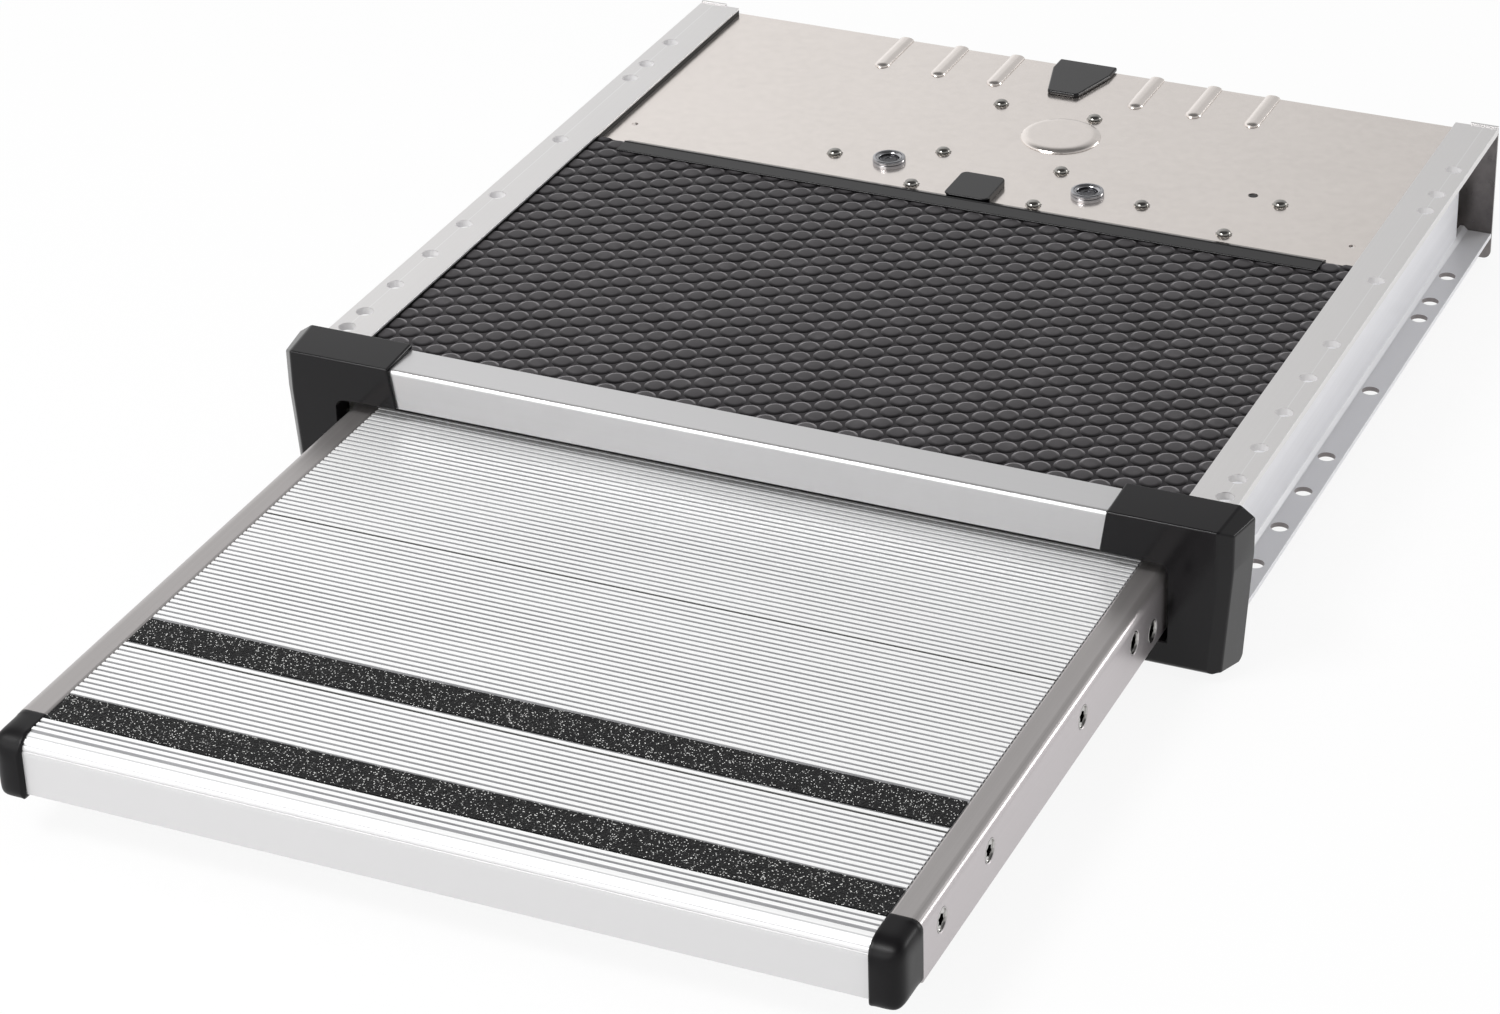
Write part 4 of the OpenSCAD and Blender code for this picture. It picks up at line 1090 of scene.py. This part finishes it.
@dataclass
class RubberMat(PieceMaker):
    """The rubber mat with its rows of raised, round pads.

    Attributes:
        pitch: Distance between pads in a row.
        row: Distance between rows, each moved by half the pitch against the next.
        start: Place of the first pad past the mat's corner, in pitches and rows.
        border: Width of the mat's edge without pads.
        edge_r: Rounding of the sheet's edges.
        radius: Half a pad's width.
        sides: Corners of a pad's outline.
        relief: Height of the pads.
        gap_shade: How strongly the sheet between the pads is shaded.
        far_way: Direction in the mat's plane in which a pad's slopes are far ones.
        gain: How quickly a slope turns from near to far round the pad.
        rings: For each ring of a pad, from its foot up: scale, rise, and how strongly the near and the far side
            are shaded.
    """

    pitch: float = 21.33 * MM
    row: float = 5.9 * MM
    start: tuple[float, float] = (-0.4, 0.3)
    border: float = 0.2 * MM
    edge_r: float = 0.3 * MM
    radius: float = 5.5 * MM
    sides: int = 16
    relief: float = 0.75 * MM
    gap_shade: float = -0.4
    far_way: tuple[float, float] = (-0.3, 0.954)
    gain: float = 1.5
    rings: tuple[tuple[float, float, float, float], ...] = (
        (1.0, 0.0, 1.0, 1.0), (1.0, 0.2, 1.0, 1.0), (0.82, 0.5, 0.6, 0.9), (0.8, 0.3, 0.0, 0.0))

    def build(self) -> None:
        """Makes the mat in place of its CAD node."""
        low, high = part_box("cover_mat")
        slab = self._slab(low, high)
        pads = self._field(self._pad(high.z - self.relief), low, high)
        mat = joined("cover_mat_patterned", [slab, pads])
        smooth(mat, 60.0)
        self.hand_over(mat, "padded", "rubber", Body.CASSETTE, "cover_mat")

    def _slab(self, low: Vector, high: Vector) -> Piece:
        """The sheet under the pads, with rounded edges.

        Args:
            low: The mat's lowest corner.
            high: The mat's highest corner.

        Returns:
            The sheet.
        """
        bpy.ops.object.select_all(action="DESELECT")
        top = Vector((high.x, high.y, high.z - self.relief))
        bpy.ops.mesh.primitive_cube_add(size=1.0, location=(low + top) / 2, scale=top - low)
        slab = bpy.context.active_object
        settle(slab)
        modify(slab, "BEVEL", width=self.edge_r, segments=2)
        self._shade(slab, lambda vertex: self.gap_shade)
        return slab

    def _shade(self, piece: Piece, shade: Callable[[bpy.types.MeshVertex], float]) -> None:
        """Keeps in the mesh how each point is shaded, from -1 on near slopes to 1 on far ones.

        Args:
            piece: The sheet or the pad.
            shade: Gives the shade of a vertex.
        """
        lean = piece.data.attributes.new("lean", "FLOAT", "POINT")
        for vertex, value in zip(piece.data.vertices, lean.data):
            value.value = shade(vertex)

    def _pad(self, floor: float) -> Piece:
        """One round pad, raised ring by ring and crowned, standing at the origin.

        Args:
            floor: Height of the sheet.

        Returns:
            The pad.
        """
        bpy.ops.object.select_all(action="DESELECT")
        bpy.ops.mesh.primitive_circle_add(vertices=self.sides, radius=self.radius, fill_type="NGON",
                                          location=(0.0, 0.0, floor))
        pad = bpy.context.active_object
        settle(pad)
        with editing(pad):
            bpy.ops.mesh.select_mode(type="FACE")
            bpy.ops.mesh.select_all(action="SELECT")
            bpy.ops.mesh.duplicate()
            for scale, rise, _, _ in self.rings[1:]:
                bpy.ops.mesh.extrude_region_move(TRANSFORM_OT_translate={"value": (0.0, 0.0, self.relief * rise)})
                widen(scale, floor)
            bpy.ops.mesh.select_all(action="SELECT")
            merge(WELD)
            face_outwards()
        far = Vector(self.far_way)

        def shade(vertex: bpy.types.MeshVertex) -> float:
            """Gives the shade of the ring that a vertex is on, on its side of the pad.

            Args:
                vertex: The vertex.

            Returns:
                The shade.
            """
            level, ring = 0.0, self.rings[0]
            for candidate in self.rings[1:]:
                level += candidate[1]
                if vertex.co.z > floor + (level - 0.05) * self.relief:
                    ring = candidate
            side = max(-1.0, min(1.0, self.gain * vertex.co.xy.normalized().dot(far)))
            return side * (ring[3] if side > 0.0 else ring[2])

        self._shade(pad, shade)
        return pad

    def _field(self, pad: Piece, low: Vector, high: Vector) -> Piece:
        """Repeats the pad over the mat and cuts it off at the borders.

        Args:
            pad: One pad at the origin.
            low: The mat's lowest corner.
            high: The mat's highest corner.

        Returns:
            All pads as one piece.
        """
        across = math.ceil((high.x - low.x) / self.pitch) + 2
        along = math.ceil((high.y - low.y) / (2 * self.row)) + 1
        rows = []
        for half in (0.0, 0.5):
            x = low.x + (half + self.start[0]) * self.pitch
            y = low.y + (2 * half + self.start[1]) * self.row
            rows.append(copied(pad, "rows", Vector((x, y, 0.0))))
            for count, step in ((across, (self.pitch, 0.0, 0.0)), (along, (0.0, 2 * self.row, 0.0))):
                modify(rows[-1], "ARRAY", use_relative_offset=False, use_constant_offset=True, count=count,
                       constant_offset_displace=step)
        bpy.data.objects.remove(pad)
        field = joined("pads", rows)
        with editing(field):
            for way in (Vector((1.0, 0.0, 0.0)), Vector((0.0, 1.0, 0.0))):
                for corner, normal in ((low, -way), (high, way)):
                    bpy.ops.mesh.select_all(action="SELECT")
                    bpy.ops.mesh.bisect(plane_co=corner - normal * self.border, plane_no=normal, clear_outer=True,
                                        use_fill=True)
        return field


@dataclass
class GritStrips(PieceMaker):
    """The two anti-slip strips on the tread, with their coarse relief.

    Attributes:
        cell: Size of the grid that carries the relief.
        relief: Depth of the relief.
        layers: Kind of noise, size and share of each part of the relief.
    """

    cell: float = 0.75 * MM
    relief: float = 0.34 * MM
    layers: tuple[tuple[str, float, float], ...] = (("VORONOI", 1.3 * MM, 0.7), ("CLOUDS", 0.5 * MM, 0.3))

    def build(self) -> None:
        """Makes both strips in place of their CAD nodes."""
        for node in ("grit_strip_front", "grit_strip_rear"):
            self.hand_over(self._strip(f"{node}_coarse", *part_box(node)), "grit", "grit", Body.STEP, node)

    def _strip(self, name: str, low: Vector, high: Vector) -> Piece:
        """One strip: a fine grid, roughened, with its borders drawn down.

        Args:
            name: The piece's name.
            low: The strip's lowest corner.
            high: The strip's highest corner.

        Returns:
            The strip.
        """
        size = high - low
        middle = (low + high) / 2
        bpy.ops.object.select_all(action="DESELECT")
        bpy.ops.mesh.primitive_grid_add(x_subdivisions=round(size.x / self.cell), size=1.0,
                                        y_subdivisions=round(size.y / self.cell), location=(*middle.xy, high.z))
        strip = bpy.context.active_object
        strip.name = name
        strip.scale = (size.x, size.y, 1.0)
        settle(strip)
        for kind, scale, share in self.layers:
            texture = bpy.data.textures.new(kind.lower(), kind)
            texture.noise_scale = scale
            modify(strip, "DISPLACE", texture=texture, texture_coords="LOCAL", direction="Z", mid_level=1.0,
                   strength=self.relief * share)
        with editing(strip):
            bpy.ops.mesh.select_mode(type="EDGE")
            bpy.ops.mesh.select_all(action="DESELECT")
            bpy.ops.mesh.select_non_manifold()
            extrude_edges(-size.z)
            bpy.ops.transform.resize(value=(1.0, 1.0, 0.0), center_override=(0.0, 0.0, low.z))
            bpy.ops.mesh.edge_face_add()
            face_outwards()
        return strip


@dataclass
class PlateScrews(PieceMaker):
    """Domed screws on the cover plate, each over a toothed washer.

    Attributes:
        washer_r: Radius of the washer's teeth, in millimetres.
        teeth: Teeth round a washer.
        tooth_in: Share of that radius between the teeth.
    """

    washer_r: float = 4.5
    teeth: int = 12
    tooth_in: float = 0.80

    def build(self) -> None:
        """Makes all screws in place of their CAD node."""
        low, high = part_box("plate_screws")
        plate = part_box("cover_mat")[0].z
        screw = self._screw((low.z - plate) / MM, (high.z - plate) / MM)
        whole = spread(screw, "plate_screws_domed", [Vector((*p.xy, plate)) for p in islands("plate_screws")])
        smooth(whole, 40.0)
        self.hand_over(whole, "polished", "pin_steel", Body.CASSETTE, "plate_screws")

    def _screw(self, foot: float, top: float) -> Piece:
        """One screw standing at the origin.

        Args:
            foot: Height of the shank's end, in millimetres.
            top: Height of the head's top, in millimetres.

        Returns:
            The screw with its washer.
        """
        head = turned("head", [(2.0, foot), (2.0, 0.7), (3.5, 0.7), (3.7, 0.95), (3.55, 1.45), (3.0, top - 0.55),
                               (2.2, top - 0.2), (1.3, top - 0.04), (0.6, top)], 24)
        rim = self.washer_r
        washer = turned("washer", [(rim, 0.0), (rim, 0.35), (2.9, 0.8), (2.05, 0.8), (2.05, 0.0)],
                        2 * self.teeth, closed=True)
        with editing(washer):
            choose(washer, "VERT", lambda v: reach(v) > (rim - 0.3) * MM and between(v, math.pi / self.teeth))
            widen(self.tooth_in)
        return joined("screw_with_washer", [head, washer])


@dataclass
class TubeScrews(PieceMaker):
    """Countersunk screws in the side tubes, each with a star recess.

    Attributes:
        recess_r: Radius of the recess at its points, in millimetres.
        recess_in: Share of that radius between the points.
        recess_top: Height of the recess's rim, in millimetres.
        recess_deep: Depth of the recess, in millimetres.
        points: Points of the star.
        rim_r: Radius just outside the ring that the star is joined to, in millimetres.
    """

    recess_r: float = 3.3
    recess_in: float = 0.72
    recess_top: float = -0.6
    recess_deep: float = 1.8
    points: int = 6
    rim_r: float = 4.4

    def build(self) -> None:
        """Makes the screws of both tubes in place of their CAD nodes."""
        for node, sign in zip(both("tube_screws"), (-1, 1)):
            low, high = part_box(node)
            screw = self._screw((high.x - low.x) / MM)
            face = high.x if sign > 0 else low.x
            turn = Euler((0.0, sign * math.pi / 2, 0.0))
            whole = spread(screw, f"{node}_countersunk", [Vector((face, p.y, p.z)) for p in islands(node)], turn)
            smooth(whole, 40.0)
            self.hand_over(whole, "bright", "pin_steel", Body.STEP, node)

    def _screw(self, length: float) -> Piece:
        """One screw along Z, with its head's face at the origin.

        Args:
            length: The screw's length, in millimetres.

        Returns:
            The screw.
        """
        screw = turned("countersunk", [(2.4, -length), (2.5, -length + 0.3), (2.5, -2.5), (5.45, -0.45),
                                       (5.55, -0.1), (5.35, 0.0), (5.15, -0.05), (4.95, -0.7),
                                       (4.3, self.recess_top)], 36)
        star = (self.recess_r + 0.2) * MM
        low = (self.recess_top - 0.05) * MM

        def inside(limit: float) -> Callable[[bmesh.types.BMEdge], bool]:
            """Picks the edges of the head's face that lie within this radius."""
            return lambda edge: all(reach(v) < limit and v.co.z > low for v in edge.verts)

        with editing(screw):
            choose(screw, "FACE", lambda face: len(face.verts) > 8 and face.calc_center_median().z > -MM)
            bpy.ops.mesh.delete(type="FACE")
            choose(screw, "VERT", lambda vertex: False)
            bpy.ops.mesh.primitive_circle_add(vertices=2 * self.points, radius=self.recess_r * MM,
                                              location=(0.0, 0.0, self.recess_top * MM))
            choose(screw, "VERT",
                   lambda v: reach(v) < star and v.co.z > -MM and between(v, math.pi / self.points))
            widen(self.recess_in)
            choose(screw, "EDGE", inside(self.rim_r * MM))
            bpy.ops.mesh.bridge_edge_loops()
            choose(screw, "EDGE", inside(star))
            extrude_edges(-self.recess_deep * MM)
            bpy.ops.mesh.edge_face_add()
            face_outwards()
        return screw


@dataclass
class PivotBushes(PieceMaker):
    """The two turned bushes of the linkage, each with a near-black plug that is painted shade in its bore, and
    the button in the plate's side hole.

    Attributes:
        bore: Radius of the bore, in millimetres.
        collar: Radius of the collar, in millimetres.
        shank: Radius of the part that passes the plate, in millimetres.
        side_hole: Place of the small round hole in the plate, closed by a sunk black button that also stands in
            for the shade inside the hole.
    """

    bore: float = 5.5
    collar: float = 9.0
    shank: float = 8.0
    side_hole: tuple[float, float] = (139.0 * MM, 127.5 * MM)

    def build(self) -> None:
        """Makes both bushes in place of their CAD nodes, their plugs, and the button."""
        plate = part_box("cover_mat")[0].z
        for side in ("left", "right"):
            node = f"pivot_bush_{side}"
            low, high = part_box(node)
            top = (high.z - plate) / MM
            place = [Vector((*((low + high) / 2).xy, plate))]
            bush = self._bush((low.z - plate) / MM, top, (high.x - low.x) / 2 / MM)
            piece = spread(bush, f"{node}_turned", place)
            smooth(piece, 30.0)
            self.hand_over(piece, "zinc", "plate_steel", Body.CASSETTE, node)
            # A plug deep in the bore, near-black as painted shade.
            plug = turned("plug", [(self.bore, top - 3.2), (self.bore, top - 2.2), (4.4, top - 2.0),
                                   (3.9, top - 1.6), (2.2, top - 1.6), (1.9, top - 1.9), (0.9, top - 1.9)],
                          32, closed=True)
            inside = spread(plug, f"pivot_plug_{side}", place)
            smooth(inside, 30.0)
            self.hand_over(inside, "bore_shade", "link_steel", Body.CASSETTE)
        # The black button in the side hole is a plug that also stands in for the shade inside it.
        button = turned("button", [(2.6, -1.2), (2.6, -0.45), (2.3, -0.35)], 24)
        filled = spread(button, "side_hole_button", [Vector((*self.side_hole, plate))])
        self.hand_over(filled, "plastic", "black_plastic", Body.CASSETTE)

    def _bush(self, foot: float, top: float, ring: float) -> Piece:
        """One bush standing at the origin, all in millimetres.

        Args:
            foot: Height of its lower end.
            top: Height of its upper end.
            ring: Radius of the ring under the plate.

        Returns:
            The bush.
        """
        edge = self.collar
        return turned("bush", [
            (self.bore, foot), (ring - 0.2, foot), (ring, foot + 0.2), (ring, foot + 1.2),
            (self.shank, foot + 1.2), (self.shank, 0.0), (edge, 0.0), (edge, 0.85), (edge - 0.12, 0.97),
            (edge - 0.5, 1.02), (edge - 0.5, 1.12), (edge - 0.22, 1.2), (edge - 0.1, 1.35),
            (edge - 0.1, top - 0.75), (edge - 0.25, top - 0.35), (edge - 0.6, top - 0.08), (edge - 0.95, top),
            (7.45, top), (7.3, top - 0.1), (7.2, top - 0.55), (6.95, top - 0.6), (6.85, top - 0.2),
            (6.7, top - 0.1), (6.4, top - 0.15), (5.8, top - 0.55), (self.bore, top - 1.0)], 64, closed=True)


@dataclass
class PlainNodes:
    """CAD nodes that keep their own shape and get a finish.

    Attributes:
        finishes: The object's finishes.
    """

    finishes: Finishes

    def build(self) -> None:
        """Dresses every CAD node."""
        wanted = {
            "rail": both("rail"),
            "plate": ("top_plate",),
            "wall": ("rear_wall",),
            "zinc": both("pivot_bush"),
            "tread": ("nosing_plank", "front_plank", "middle_plank", "rear_plank"),
            "beam": ("front_beam",),
            "tube": (*both("step_tube"), "cross_bar"),
            "bright": ("plate_screws", *both("tube_screws", "elbow_pin", "step_pin")),
            "link": ("rear_nut_plate", "side_nut_plate", *both("pivot_housing", "upper_arm", "forearm")),
            "plastic": ("mat_strip", "front_clip", "rear_clip", *both("end_cap", "corner_cap")),
            "rubber": ("cover_mat", "beam_wiper", "rear_buffers"),
            "nylon": both("front_pad", "glide_shoe"),
            "grit": ("grit_strip_front", "grit_strip_rear"),
        }
        for finish, nodes in wanted.items():
            for node in nodes:
                self.finishes.dress(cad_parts[node], finish)
        LOG.info("dressed %d CAD nodes", sum(len(nodes) for nodes in wanted.values()))


def main() -> None:
    """Builds the camera, the studio and every piece."""
    logging.basicConfig(level=logging.INFO)
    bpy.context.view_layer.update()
    StudioCamera().build()
    Studio().build()
    finishes = Finishes()
    PlainNodes(finishes).build()
    for maker in (Mouldings, RubberMat, GritStrips, PlateScrews, TubeScrews, PivotBushes):
        maker(finishes).build()


if __name__ == "__main__":
    main()
